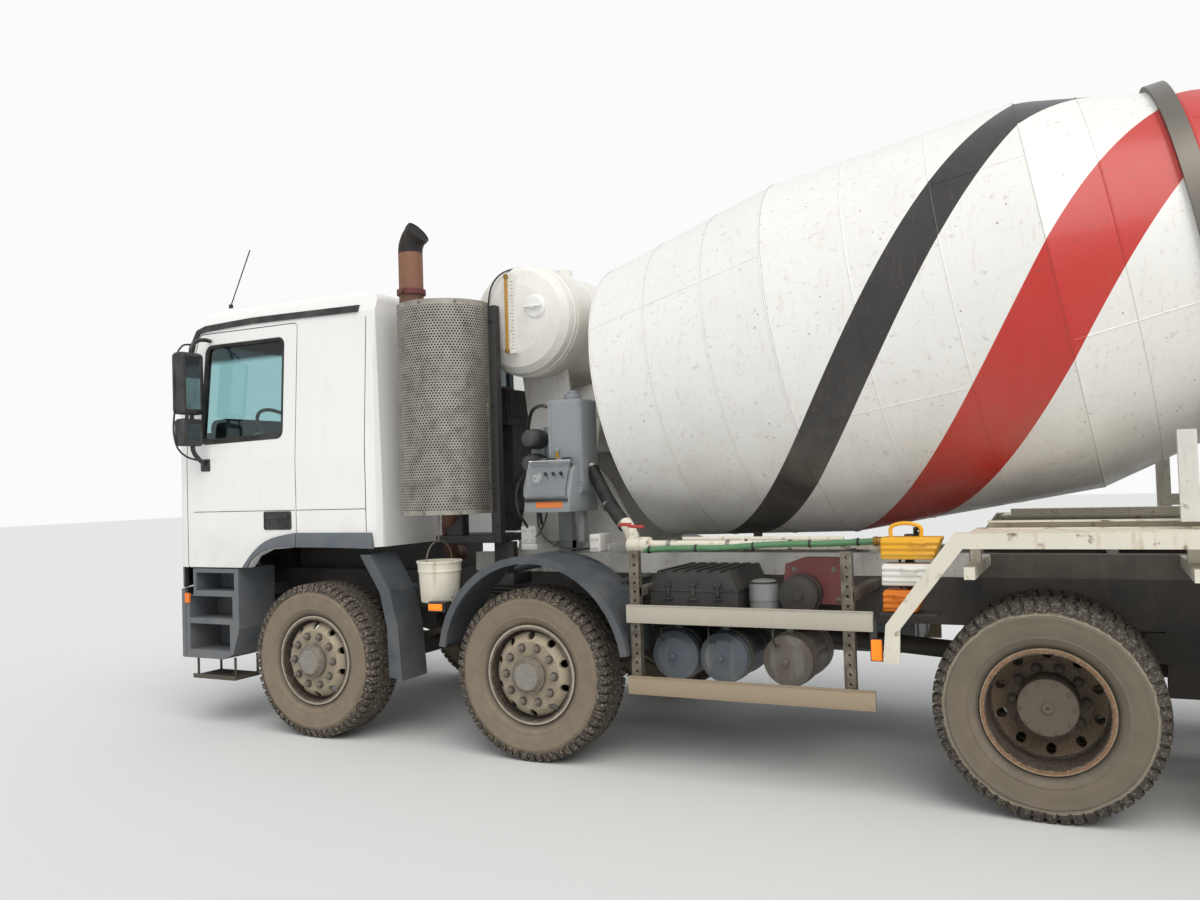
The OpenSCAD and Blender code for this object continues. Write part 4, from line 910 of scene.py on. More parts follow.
front_set = fastenings(0.126, 0.029, 0.1045, 0.156, 0.0085)
hub_plate = spun([(0.0985, 0.149), (0.113, 0.149), (0.113, 0.1555), (0.111, 0.157), (0.0985, 0.157)],
                 *WHEEL_AXIS, 40)
front_set = (joined([front_set[0], hub_plate]), front_set[1])
rear_set = fastenings(-0.15, 0.033, 0.119, 0.041, 0.0085)
hub_cover = joined([spun([(0.0, 0.041), (0.132, 0.041), (0.1375, 0.036), (0.1375, 0.014), (0.12, 0.01)],
                         *WHEEL_AXIS, 48),
                    spun([(0.0, 0.043), (0.0085, 0.043), (0.0085, 0.05), (0.024, 0.05), (0.027, 0.047),
                          (0.027, 0.04)],
                         *WHEEL_AXIS, 32)])
rear_set = (joined([rear_set[0], hub_cover]), rear_set[1])
for side, sign in (("left", 1), ("right", -1)):
    for axle in range(4):
        steel, grease = front_set if axle < 2 else rear_set
        y = FRONT_Y if axle < 2 else REAR_Y
        for made, name, finish in ((steel, "nuts", nut_steel if axle < 2 else hub_steel),
                                   (grease, "collars", dark_grease)):
            copy = shifted(made, AXLE_X[axle], y, 0)
            if sign < 0:
                one, copy = copy, mirrored(copy)
                bpy.data.objects.remove(one)
            piece(copy, f"wheel_{axle + 1}_{side}_{name}", f"wheel_{axle + 1}_{side}", "dusty_steel", finish)
remove_all((*front_set, *rear_set))

# %% [markdown]
# ## Exhaust guard
# The guard is a sheet of punched steel, rolled to a half round, with plain bands at its top,
# foot and edges. A hexagonal net of cells, each with a hole, is laid out flat, cropped and
# then rolled: every point's way across becomes an angle. The real holes are 15 mm apart; here
# they are 20 mm apart, so that they still show at the size of a picture.

# %% Punched sheet of the guard
GUARD, GUARD_R = (-0.935, 0.85), 0.3145
STACK = (-0.76, 0.975)
GUARD_LOW, GUARD_HIGH, GUARD_BACK = 1.49, 2.88, 0.8
PITCH_HOLES, HOLE_R = 0.02, 0.0064
edge_angle = math.asin((GUARD_BACK - GUARD[1]) / GUARD_R)
guard_arc = math.pi - 2 * edge_angle
sheet_long = guard_arc * GUARD_R


def punched(long, high, pitch, hole):
    """A flat net of hexagonal cells with holes: the way across is x, the height is z."""
    made = bmesh.new()
    cell = pitch / math.sqrt(3)
    for row in range(int(high / (1.5 * cell)) + 1):
        for column in range(int(long / pitch) + 1):
            x, z = pitch * (column + 0.5 * (row % 2)), 1.5 * cell * row
            corners = [(math.sin(math.radians(60 * k)), math.cos(math.radians(60 * k))) for k in range(6)]
            outer = [made.verts.new((x + cell * a, 0, z + cell * b)) for a, b in corners]
            inner = [made.verts.new((x + hole * a, 0, z + hole * b)) for a, b in corners]
            for k in range(6):
                made.faces.new((outer[k], outer[(k + 1) % 6], inner[(k + 1) % 6], inner[k]))
    bmesh.ops.remove_doubles(made, verts=made.verts, dist=0.0004)
    for side, limit in (((1, 0, 0), long), ((-1, 0, 0), 0), ((0, 0, 1), high), ((0, 0, -1), 0)):
        place = (limit if side[0] > 0 else 0, 0, limit if side[2] > 0 else 0)
        bmesh.ops.bisect_plane(made, geom=made.verts[:] + made.edges[:] + made.faces[:], plane_co=place,
                               plane_no=side, clear_outer=True)
    mesh = bpy.data.meshes.new("Punched sheet")
    made.to_mesh(mesh)
    obj = bpy.data.objects.new("Punched sheet", mesh)
    bpy.context.collection.objects.link(obj)
    return only(obj)


sheet = punched(sheet_long, GUARD_HIGH - GUARD_LOW, PITCH_HOLES, HOLE_R)
for point in sheet.data.vertices:
    turn_angle = edge_angle + point.co.x / GUARD_R
    point.co = at(GUARD[0] + GUARD_R * math.cos(turn_angle), GUARD[1] + GUARD_R * math.sin(turn_angle),
                  GUARD_LOW + point.co.z)
print("holes in the guard:",
      round(sheet_long * (GUARD_HIGH - GUARD_LOW) / (PITCH_HOLES ** 2 * math.sqrt(0.75))))

# %% Plain bands, top and floor of the guard


def guard_line(z, radius, start=0.0, end=1.0, steps=40):
    """Places round the guard at a height, from a share start to a share end of its arc."""
    turns = [edge_angle + guard_arc * (start + (end - start) * k / steps) for k in range(steps + 1)]
    return [(GUARD[0] + radius * math.cos(t), GUARD[1] + radius * math.sin(t), z) for t in turns]


def band_round(z0, z1, start=0.0, end=1.0, steps=40):
    """A plain band over the punched sheet between two heights."""
    ins, outs = GUARD_R - 0.003, GUARD_R + 0.0005
    lines = [guard_line(z, r, start, end, steps) for z, r in ((z0, ins), (z0, outs), (z1, outs), (z1, ins))]
    points = [at(*p) for line in lines for p in line]
    n = steps + 1
    faces = [(a * n + k, a * n + k + 1, b * n + k + 1, b * n + k) for a, b in ((0, 1), (1, 2), (2, 3), (3, 0))
             for k in range(steps)]
    faces += [(0, n, 2 * n, 3 * n), (4 * n - 1, 3 * n - 1, 2 * n - 1, n - 1)]
    return outwards(mesh_of("Band", points, (), faces))


bands = [band_round(GUARD_HIGH - 0.038, GUARD_HIGH), band_round(GUARD_LOW, GUARD_LOW + 0.022),
         band_round(GUARD_LOW, GUARD_HIGH, 0.0, 0.022, 2), band_round(GUARD_LOW, GUARD_HIGH, 0.978, 1.0, 2)]
lids = []
for z, hole_at, hole_r in ((GUARD_HIGH - 0.004, STACK, 0.091), (GUARD_LOW, (-0.905, 0.8), 0.062)):
    lid = plate(guard_line(z, GUARD_R - 0.002), (0, 0, 1), 0.003)
    punch = rod((*hole_at, z - 0.05), (*hole_at, z + 0.05), hole_r, 40)
    lids.append(cut(lid, punch))
only(sheet)
wall = sheet.modifiers.new("Wall", "SOLIDIFY")
wall.thickness, wall.offset = 0.002, 0
bpy.ops.object.modifier_apply(modifier="Wall")
piece(joined([sheet, *bands, *lids]), "exhaust_guard_sheet", "chassis", "bare_steel", guard_steel,
      "exhaust_guard", smooth=35)
guard_bolts = []
for share in (0.03, 0.3, 0.52, 0.74, 0.97):
    for z in (GUARD_LOW + 0.011, GUARD_HIGH - 0.019, 2.18):
        x, y, _ = guard_line(z, GUARD_R, share, share, 1)[0]
        out = Vector((x - GUARD[0], y - GUARD[1], 0)).normalized()
        guard_bolts.append(((x, y, z), out))
piece(joined([bolts([p], out, 8, 6, 12) for p, out in guard_bolts]), "exhaust_guard_bolts", "chassis",
      "bare_steel", nut_steel)

# %% [markdown]
# ## Window seals
# Black rubber seals hold the glass. They follow the window's outline with its round corners,
# a little in from the sheet. The cab's side leans in above the waist, so each place is put on
# the side's own surface by its height.

# %% Rubber of the door's window and edge
CAB_Y = 1.14
window_side = rounded([(0.265, 2.05, 0.05), (1.06, 2.035, 0.06), (1.02, 2.755, 0.06), (0.265, 2.755, 0.05)],
                      8)


def side_y(z):
    """Half width of the cab's side at a height."""
    return CAB_Y if z < 1.9 else CAB_Y - 0.052 * (z - 1.9) / 0.97


seal = joined([strip([(x, side_y(z) - 0.01, z) for x, z in window_side], (0, 1, 0), 0.034, -0.016, 0.006),
               tube([(x, side_y(z) - 0.004, z) for x, z in window_side], 0.0085, True, False)])
channel = strip([(0.275, side_y(2.06) - 0.022, 2.072), (1.055, side_y(2.06) - 0.022, 2.058)], (0, 1, 0),
                0.024, 0.0, 0.014, False)
window_rubber = joined([seal, channel])
edge_rubber = tube([(0.1425, CAB_Y - 0.004, 1.36), (0.1425, CAB_Y - 0.004, 1.9),
                    (0.1425, side_y(2.4) - 0.004, 2.4), (0.1425, side_y(2.83) - 0.004, 2.83)], 0.0035, False,
                   False)
for side, turn in SIDES:
    piece(turn(window_rubber), f"window_seal_{side}", f"door_{side}", "black_plastic", seal_rubber)
    piece(turn(edge_rubber), f"door_edge_rubber_{side}", "cab", "black_plastic", seal_rubber)
remove_all((window_rubber, edge_rubber))

# %% Seals of the windscreen and the rear window
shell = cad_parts["cab_shell"]
shell_tree = BVHTree.FromPolygons([v.co.copy() for v in shell.data.vertices],
                                  [tuple(p.vertices) for p in shell.data.polygons])


def on_shell(x, y, z, toward):
    """The first place on the cab's shell from a point outside it, looking along an axis."""
    hit = shell_tree.ray_cast(at(x, y, z), Vector(toward))[0]
    return None if hit is None else (hit.x - axle_1, hit.y, hit.z)


def face_seal(outline, x, toward, radius):
    """A rubber tube on the shell round an opening in the cab's front or back."""
    places = [on_shell(x, y, z, toward) for y, z in outline]
    places = [p for p in places if p]
    return tube(places, radius, True, False)


screen_line = rounded([(-1.022, 2.048, 0.07), (1.022, 2.048, 0.07), (0.987, 2.802, 0.09),
                       (-0.987, 2.802, 0.09)], 8)
rear_line = box_line((-0.634, 2.366), (0.634, 2.724), 0.06, 8)
long_line = []
for k, p in enumerate(screen_line):
    q = screen_line[(k + 1) % len(screen_line)]
    steps = max(1, int((q - p).length / 0.06))
    long_line += [p.lerp(q, i / steps) for i in range(steps)]
screen_seal = face_seal([(p.x, p.y) for p in long_line], 2.2, (-1, 0, 0), 0.013)
rear_seal = face_seal([(p.x, p.y) for p in rear_line], -1.2, (1, 0, 0), 0.013)
piece(joined([screen_seal, rear_seal]), "screen_seals", "cab", "black_plastic", seal_rubber)

# %% [markdown]
# ## Mirrors
# Each side has a tall mirror and a wide-angle one below it, in black moulded heads on a bent
# tube. The glass faces the rear in a shallow frame.

# %% Mirrors


def mirror_head(low, high, corner):
    """A moulded head: a rounded block that is fuller at its front, hollow at its rear face."""
    head = block(low, high, corner * 1000, 5)
    only(head)
    bpy.ops.object.mode_set(mode="EDIT")
    bpy.ops.mesh.select_mode(type="FACE")
    bpy.ops.object.mode_set(mode="OBJECT")
    for group in (head.data.edges, head.data.vertices):
        for element in group:
            element.select = False
    for face in head.data.polygons:
        face.select = face.normal.x < -0.99
    bpy.ops.object.mode_set(mode="EDIT")
    bpy.ops.mesh.inset(thickness=0.01)
    bpy.ops.transform.translate(value=(0.012, 0, 0))
    bpy.ops.object.mode_set(mode="OBJECT")
    return head


def thin_pane(low, high, corner, x):
    """A plate across the truck, 4 mm thick, with round corners (y, z)."""
    return plate([(x, y, z) for y, z in box_line(low, high, corner)], (1, 0, 0), 0.004)


heads = joined([mirror_head((0.93, 1.192, 2.242), (1.048, 1.398, 2.688), 0.034),
                mirror_head((0.94, 1.192, 2.017), (1.042, 1.388, 2.213), 0.03)])
arms = joined([tube([(0.975, 1.098, 2.792), (0.98, 1.15, 2.796), (0.984, 1.215, 2.78), (0.985, 1.262, 2.735),
                     (0.985, 1.268, 2.64)], 0.015),
               tube([(0.985, 1.268, 2.7), (0.985, 1.268, 2.2), (0.985, 1.268, 2.01)], 0.014),
               tube([(0.985, 1.268, 2.06), (0.985, 1.262, 1.985), (0.99, 1.215, 1.93), (1.0, 1.142, 1.885)],
                    0.017),
               block((0.955, 1.126, 1.835), (1.045, 1.15, 1.925), 8, 3),
               tube([(1.01, 1.15, 1.905), (1.02, 1.33, 1.965), (1.015, 1.395, 2.06), (1.01, 1.396, 2.3),
                     (1.005, 1.39, 2.6), (1.0, 1.33, 2.735), (0.99, 1.262, 2.752)], 0.007)])
panes = joined([thin_pane((1.204, 2.262), (1.386, 2.668), 0.028, 0.9385),
                thin_pane((1.204, 2.036), (1.376, 2.194), 0.024, 0.9485)])
for side, turn in SIDES:
    piece(turn(heads), f"mirror_heads_{side}", f"door_{side}", "black_plastic", black_plastic)
    piece(turn(arms), f"mirror_arms_{side}", f"door_{side}", "black_plastic", gloss_black, f"mirror_{side}")
    piece(turn(panes), f"mirror_glass_{side}", f"door_{side}", "glass_tinted", mirror_glass)
remove_all((heads, arms, panes))

# %% [markdown]
# ## Front of the cab
# Wipers rest along the foot of the windscreen; a thin aerial stands on the roof; the blank
# number plate, the lamps' reflectors and the air slot's mesh sit in the bumper.

# %% Wipers, aerial and plate


def on_front(y, z):
    """A place on the front of the cab's shell or glass."""
    return on_shell(2.2, y, z, (-1, 0, 0)) or (1.385 - 0.2785 * (z - 2.04), y, z)


def screen_x(y, z):
    """How far forward the windscreen stands at a place on it."""
    return 1.385 - 0.2785 * (z - 2.04) - 0.14 * max(0.0, abs(y) - 0.55)


wipers = []
for y in (-0.9, -0.24, 0.4):
    foot = on_front(y, 2.025)
    wipers.append(rod((foot[0] - 0.01, y, 2.015), (foot[0] + 0.03, y, 2.022), 0.022, 20, 2))
    wipers.append(tube([(screen_x(y, 2.02) + 0.024, y, 2.02),
                        (screen_x(y + 0.16, 2.075) + 0.016, y + 0.16, 2.075),
                        (screen_x(y + 0.28, 2.135) + 0.012, y + 0.28, 2.135)], 0.007))
    wipers.append(tube([(screen_x(y + k * 0.05, 2.137) + 0.006, y + k * 0.05, 2.137) for k in range(12)],
                       0.007, False, False))
piece(joined(wipers), "wipers", "cab", "black_plastic", gloss_black)
aerial = joined([rod((1.077, 0.8, 3.05), (1.077, 0.8, 3.118), 0.016, 20, 3),
                 tube([(1.077, 0.8, 3.11), (1.01, 0.8, 3.24), (0.869, 0.8, 3.513)], 0.0045)])
piece(aerial, "aerial", "cab", "black_plastic", gloss_black)
piece(thin_pane((-0.26, 0.7), (0.26, 0.81), 0.012, 1.448), "front_plate", "chassis", "grey_plastic",
      blank_plate)

# %% Reflectors behind the lamps' glass
reflectors = []
for y in (0.66, 0.85):
    bowl = spun([(0.014, -0.055), (0.04, -0.045), (0.066, -0.022), (0.076, 0.0), (0.084, 0.002),
                 (0.088, -0.004)],
                (1.34 - 0.35 * max(0.0, y - 0.64), y, 0.74), (1, 0.32, 0), 36)
    reflectors += [bowl, mirrored(bowl)]
piece(joined(reflectors), "headlamp_reflectors", "chassis", "lamp_plastic", mirror_glass)
mesh_bars = [rod((1.44, y, 0.552), (1.44, y, 0.668), 0.003, 6) for y in
             [-0.41 + 0.0205 * k for k in range(41)]]
mesh_bars += [rod((1.44, -0.425, z), (1.44, 0.425, z), 0.003, 6) for z in (0.575, 0.598, 0.621, 0.644)]
piece(joined(mesh_bars), "air_slot_mesh", "chassis", "black_plastic", gloss_black)

# %% [markdown]
# ## Seats
# A driver's seat is foam under woven cloth. Each cushion is a rounded block whose faces are
# remade as an even net and then blown up a little as cloth under pressure, so that it crowns
# and its sides pull in between its corners. The seams' piping follows afterwards.

# %% Padded cushions
SEAT_Y = 0.56
INSET = 0.014


def cushion(rows, y0, y1, cap):
    """A padded cushion from its side outline [x, z, corner], between two sides."""
    centre = Vector((sum(r[0] for r in rows), sum(r[1] for r in rows))) / len(rows)
    drawn = [p + (centre - p).normalized() * INSET for p in rounded(rows, 6)]
    form = plate([(p.x, y0 + INSET, p.y) for p in drawn], (0, 1, 0), y1 - y0 - 2 * INSET)
    net = form.modifiers.new("Net", "REMESH")
    net.mode, net.voxel_size = "VOXEL", 0.013
    only(form)
    bpy.ops.object.modifier_apply(modifier="Net")
    rest = [v.co.copy() for v in form.data.vertices]
    cloth = form.modifiers.new("Cloth", "CLOTH")
    cloth.settings.use_pressure = True
    cloth.settings.uniform_pressure_force = 4.0
    cloth.settings.effector_weights.gravity = 0.0
    cloth.settings.quality = 4
    scene = bpy.context.scene
    for number in range(1, 13):
        scene.frame_set(number)
    bpy.ops.object.modifier_apply(modifier="Cloth")
    scene.frame_set(1)
    for v, start in zip(form.data.vertices, rest):
        way = v.co - start
        if way.length > cap:
            v.co = start + way.normalized() * cap
    return form, drawn


def piping(drawn, y0, y1):
    """Round piping along both edges of a cushion."""
    lines = [[(p.x, y, p.y) for p in drawn] for y in (y0 + INSET + 0.004, y1 - INSET - 0.004)]
    return joined([tube(line, 0.0045, True, False) for line in lines])


seat_parts = (("seat_cushion", [(-0.07, 1.565, 0.03), (0.435, 1.565, 0.04), (0.435, 1.685, 0.05),
                                (-0.06, 1.675, 0.03)], -0.245, 0.245, 0.016, 0.7),
              ("seat_back", [(-0.175, 1.7, 0.03), (-0.05, 1.7, 0.03), (-0.12, 2.325, 0.05),
                             (-0.235, 2.325, 0.05)], -0.235, 0.235, 0.014, 0.65),
              ("headrest", [(-0.245, 2.355, 0.03), (-0.145, 2.355, 0.03), (-0.165, 2.525, 0.04),
                            (-0.255, 2.525, 0.04)], -0.125, 0.125, 0.01, 0.6))
for name, rows, y0, y1, cap, fill in seat_parts:
    pad, drawn = cushion(rows, SEAT_Y + y0, SEAT_Y + y1, cap)
    cord_line = piping(drawn, SEAT_Y + y0, SEAT_Y + y1)
    for side, turn in SIDES:
        made = piece(turn(pad), f"{name}_{side}", "cab", "seat_fabric", seat_cloth, smooth=60)
        piece(turn(cord_line), f"{name}_piping_{side}", "cab", "seat_fabric", seat_trim)
    remove_all((pad, cord_line))

# %% [markdown]
# ## Dashboard, seat bases and steering wheel
# The hard parts of the cabin are copies of the solid's own shapes with the seats cut away and
# the steering wheel's part lifted, and new parts where the eye goes: a hooded binnacle with two dials.

# %% Hard parts of the cabin
WHEEL_RISE = 0.15
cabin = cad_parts["cab_interior"]
dash = moved(cabin, Matrix.Identity(4))
kept = bmesh.new()
kept.from_mesh(dash.data)
bmesh.ops.remove_doubles(kept, verts=kept.verts, dist=0.0001)
gone = [v for v in kept.verts if v.co.x < at(0.52, 0, 0).x]
bmesh.ops.delete(kept, geom=gone, context="VERTS")
for v in kept.verts:
    if v.co.x < at(0.985, 0, 0).x:
        v.co.z += WHEEL_RISE
kept.to_mesh(dash.data)
piece(dash, "dashboard", "cab", "seat_fabric", dash_plastic, "cab_interior")
bases = [block((-0.055, SEAT_Y - 0.235, 1.447), (0.375, SEAT_Y + 0.235, 1.5), 12, 3),
         block((-0.02, SEAT_Y - 0.2, 1.498), (0.33, SEAT_Y + 0.2, 1.566), 8, 3),
         rod((-0.195, SEAT_Y - 0.05, 2.3), (-0.2, SEAT_Y - 0.05, 2.372), 0.007),
         rod((-0.195, SEAT_Y + 0.05, 2.3), (-0.2, SEAT_Y + 0.05, 2.372), 0.007),
         block((-0.16, SEAT_Y - 0.2, 1.6), (-0.09, SEAT_Y + 0.2, 1.715), 10, 3)]
on_both_sides(joined(bases), "seat_base", "seat_fabric", seat_trim, "cab")
top = rounded([(1.05, 1.96, 0.02), (1.3, 1.99, 0.02), (1.31, 2.06, 0.03), (1.2, 2.135, 0.05),
               (1.075, 2.12, 0.04)])
piece(plate([(p.x, -1.0, p.y) for p in top], (0, 1, 0), 2.0), "dashboard_top", "cab", "seat_fabric",
      dash_plastic)
hood = rounded([(0.96, 1.925, 0.01), (1.19, 2.02, 0.02), (1.19, 2.225, 0.06), (0.99, 2.235, 0.03)])
piece(plate([(p.x, 0.23, p.y) for p in hood], (0, 1, 0), 0.68), "binnacle", "cab", "seat_fabric",
      dash_plastic)
dials = [rod((0.99, y, 2.09), (0.975, y, 2.09), 0.052, 36, 1.0) for y in (0.48, 0.64)]
piece(joined(dials), "dials", "cab", "seat_fabric", gauge_face)

# %% [markdown]
# ## Controls behind the cab
# The drum's levers stand in a small panel under a clear hinged cover, beside a pressure
# gauge. The oil tank behind has a sight glass and a filler, and the filters a ribbed bowl.

# %% Lever panel
PANEL_LOW_X, PANEL_HIGH_X = -1.9, -1.58
cover_side = [(0.955, 1.585), (0.985, 1.59), (0.985, 1.64), (0.905, 1.815), (0.86, 1.83), (0.862, 1.812),
              (0.892, 1.8), (0.966, 1.636), (0.966, 1.604)]
cover = plate([(PANEL_LOW_X + 0.012, y, z) for y, z in cover_side], (1, 0, 0),
              PANEL_HIGH_X - PANEL_LOW_X - 0.024)
piece(cover, "control_cover", "chassis", "control_grey", clear_cover)
hinge = [rod((PANEL_LOW_X + a, 0.884, 1.822), (PANEL_LOW_X + a + 0.06, 0.884, 1.822), 0.009, 14, 1)
         for a in (0.02, 0.13, 0.24)]
frame_bars = [strip([(PANEL_LOW_X + 0.006, 0.962, 1.566), (PANEL_HIGH_X - 0.006, 0.962, 1.566)], (0, 1, 0),
                    0.018, 0, 0.008, False),
              strip([(PANEL_LOW_X + 0.006, 0.885, 1.783), (PANEL_HIGH_X - 0.006, 0.885, 1.783)], (0, 1, 0),
                    0.018, 0, 0.008, False)]
levers = []
for x in (-1.845, -1.79, -1.735):
    levers += [rod((x, 0.905, 1.69), (x, 0.948, 1.728), 0.005, 10),
               rod((x, 0.944, 1.724), (x, 0.958, 1.736), 0.011, 16, 3)]
piece(joined(hinge + frame_bars + levers), "control_levers", "chassis", "control_grey", gloss_black)
face_out = Vector((0, 0.94, 0.342)).normalized()
dial_at = Vector((-1.66, 0.912, 1.7))
dial = rod(tuple(dial_at - face_out * 0.01), tuple(dial_at + face_out * 0.014), 0.036, 40, 2)
ring = spun([(0.034, 0.01), (0.041, 0.01), (0.042, 0.018), (0.036, 0.02)], tuple(dial_at), face_out, 40)
piece(dial, "pressure_gauge", "chassis", "control_grey", gauge_face)
piece(ring, "pressure_gauge_rim", "chassis", "control_grey", bare_steel)
label_rows = box_line((-1.855, 1.519), (-1.666, 1.586), 0.006)
piece(plate([(x, 0.9595, min(z, 1.558)) for x, z in label_rows], (0, 1, 0), 0.0022), "blank_label", "chassis",
      "control_grey", orange_label)

# %% Oil tank's fittings and filters
fittings = [rod((-1.81, 0.7, 2.195), (-1.81, 0.7, 2.24), 0.055, 28, 5),
            rod((-1.81, 0.7, 2.238), (-1.81, 0.7, 2.262), 0.032, 28, 5),
            rod((-1.755, 0.818, 1.76), (-1.755, 0.836, 1.76), 0.016, 18, 1),
            rod((-1.755, 0.818, 1.88), (-1.755, 0.836, 1.88), 0.016, 18, 1)]
sight = rod((-1.755, 0.828, 1.765), (-1.755, 0.828, 1.875), 0.01, 16)
edges = [strip([(x, 0.819, 1.655), (x, 0.819, 2.19)], (0, 1, 0), 0.02, 0, 0.004, False)
         for x in (-1.918, -1.702)]
tank_bolts = bolts([(x, 0.822, z) for x in (-1.918, -1.702) for z in (1.68, 1.85, 2.02, 2.17)], (0, 1, 0), 7,
                   5)
piece(joined(fittings + edges + [tank_bolts]), "oil_tank_fittings", "chassis", "control_grey", grey_paint)
piece(sight, "oil_sight_glass", "chassis", "control_grey", amber_oil)
bowls = []
for z in (1.8, 1.96):
    bowl = spun([(0.03, -0.01), (0.062, -0.008), (0.0655, 0.0), (0.0655, 0.022), (0.0625, 0.026),
                 (0.0625, 0.12), (0.058, 0.142), (0.046, 0.16), (0.02, 0.1665), (0.0, 0.167)],
                (-1.56, 0.7, z), (0, 1, 0), 40)
    flute = block((-1.564, 0.73, z + 0.06), (-1.556, 0.8, z + 0.0665), 1.5)
    bowls += [bowl, ring_of(flute, 20, (-1.56, 0.7, z), (0, 1, 0))]
piece(joined(bowls), "filter_bowls", "chassis", "control_grey", filter_black)

# %% [markdown]
# ## Hoses and pipes
# The suction hose is ribbed rubber with clamps at both ends. The wash hose is green PVC,
# clipped straight along the rail, and its brass nozzle hangs at the rear end. Both are fixed
# at their two ends and along their length, so neither is a free cord.

# %% Hose clamps and taps
clamps = []
for centre, axis in (((-1.935, 0.7, 1.76), (-0.155, 0.09, -0.24)),
                     ((-2.232, 0.874, 1.408), (-0.15, 0.09, -0.14)),
                     ((-2.09, 0.79, 1.525), (-0.155, 0.09, -0.19))):
    clamps.append(hoop(0.0435, 0.0465, 0.01, centre, Vector(axis).normalized(), 32))
for x in (-2.56, -2.92, -3.28, -3.6):
    clamps.append(hoop(0.0265, 0.0295, 0.012, (x, 0.96, 1.29), (1, 0, 0), 28))
piece(joined(clamps), "hose_clamps", "chassis", "control_grey", bare_steel)
tap = joined([rod((-2.296, 0.93, 1.412), (-2.296, 1.012, 1.412), 0.009, 14, 1),
              tube([(-2.262, 1.008, 1.41), (-2.3, 1.01, 1.414), (-2.338, 1.01, 1.403), (-2.42, 1.012, 1.399)],
                   0.01)])
piece(tap, "red_tap_lever", "chassis", "control_grey", red_plastic)
nozzle = spun([(0.0, 0.0), (0.024, 0.0), (0.026, -0.02), (0.022, -0.024), (0.022, -0.06), (0.012, -0.075),
               (0.01, -0.13), (0.0, -0.13)], (-3.74, 1.005, 1.312), (1, 0, -0.04), 24)
piece(nozzle, "wash_nozzle", "chassis", "control_grey", brass)
ties = [hoop(0.0175, 0.0215, 0.006, (x, 1.005, 1.262 + 0.05 * (-2.42 - x) / 1.32), (1, 0, 0), 20)
        for x in (-2.45, -2.74, -3.08, -3.4, -3.66)]
ties += [rod((x, 0.978, 1.286), (x, 1.0, 1.27 + 0.05 * (-2.42 - x) / 1.32), 0.004, 8) for x in (-3.08, -3.66)]
piece(joined(ties), "hose_clips", "chassis", "control_grey", gloss_black)

# %% [markdown]
# ## Side guards, tanks and battery box
# Folded edges, straps, drain taps, latches and bolts are small, but they tell how each part is
# made and held. Every set is one mesh of copies.

# %% Folded edges of the rails, straps on the air tanks
RAIL_Z, AIR_TANK_X = (0.467, 0.868), (-2.573, -2.866, -3.241)
lips = []
for z in RAIL_Z:
    for edge in (z + 0.0015, z + 0.0975):
        lips.append(block((-3.759, 1.2145, edge - 0.0015), (-2.384, 1.2185, edge + 0.0015), 0))
on_both_sides(joined(lips), "rail_beads", "galvanised", galvanised)
straps, drains = [], []
for x in AIR_TANK_X:
    for y in (0.6, 0.86):
        straps.append(hoop(0.146, 0.1495, 0.022, (x, y, 0.65), (0, 1, 0), 48))
        straps.append(block((x - 0.012, y - 0.022, 0.795), (x + 0.012, y + 0.022, 0.83), 3))
    drains.append(spun([(0.148, -0.004), (0.1475, 0.0), (0.1455, 0.004)], (x, 0.934, 0.65), (0, 1, 0), 48))
    drains.append(rod((x, 0.995, 0.65), (x, 1.016, 0.65), 0.02, 6, 2))
    drains.append(rod((x + 0.05, 0.985, 0.735), (x + 0.05, 1.01, 0.735), 0.011, 6, 1))
    drains.append(rod((x, 0.7, 0.508), (x, 0.7, 0.478), 0.01, 12, 1))
piece(joined(straps), "air_tank_straps", "chassis", "frame_paint", nut_steel)
piece(joined(drains), "air_tank_fittings", "chassis", "tank_paint", tank_paint)
air_lines = [tube([(x + 0.05, 1.008, 0.735), (x + 0.055, 1.03, 0.76), (x + 0.07, 0.99, 0.83),
                   (x + 0.1, 0.8, 0.9), (x + 0.14, 0.46, 0.93)], 0.006) for x in AIR_TANK_X]
air_lines += [tube([(-3.45, 0.44, z), (-3.0, 0.45, z - 0.02), (-2.5, 0.44, z), (-2.0, 0.45, z - 0.02),
                    (-1.2, 0.44, z), (-0.7, 0.445, z)], 0.009) for z in (0.9, 0.925, 0.95)]
piece(joined(air_lines), "air_lines", "chassis", "frame_paint", gloss_black)

# %% Battery box, valves and canister
latch = joined([block((-2.745, 1.056, 0.985), (-2.725, 1.072, 1.075), 3),
                rod((-2.76, 1.07, 0.99), (-2.71, 1.07, 0.99), 0.007, 12, 1),
                block((-2.755, 1.05, 1.062), (-2.715, 1.076, 1.082), 3)])
seam_box = strip([(-3.003, 0.5, 1.04), (-3.003, 1.063, 1.04), (-2.467, 1.063, 1.04), (-2.467, 0.5, 1.04)],
                 (0, 0, 1), 0.01, -0.006, 0.006, False)
piece(joined([shifted(latch, -0.15), shifted(latch, 0.15), seam_box, latch]), "battery_latches", "chassis",
      "black_plastic", gloss_black)
canister = spun([(0.0, 0.246), (0.03, 0.246), (0.062, 0.24), (0.079, 0.228), (0.083, 0.205), (0.083, 0.15),
                 (0.0845, 0.146), (0.0845, 0.128), (0.082, 0.124), (0.082, 0.02), (0.07, 0.0), (0.0, 0.0)],
                (-3.11, 0.93, 0.852), (0, 0, 1), 48)
piece(canister, "dryer_canister", "chassis", "black_plastic", canister_grey)
chamber = spun([(0.1055, 0.0), (0.1075, 0.004), (0.1075, 0.036), (0.112, 0.04), (0.112, 0.054),
                (0.1075, 0.058), (0.106, 0.11), (0.092, 0.132), (0.06, 0.14), (0.03, 0.14), (0.026, 0.15),
                (0.0, 0.15)],
               (-3.33, 0.9, 1.02), (0, 1, 0), 48)
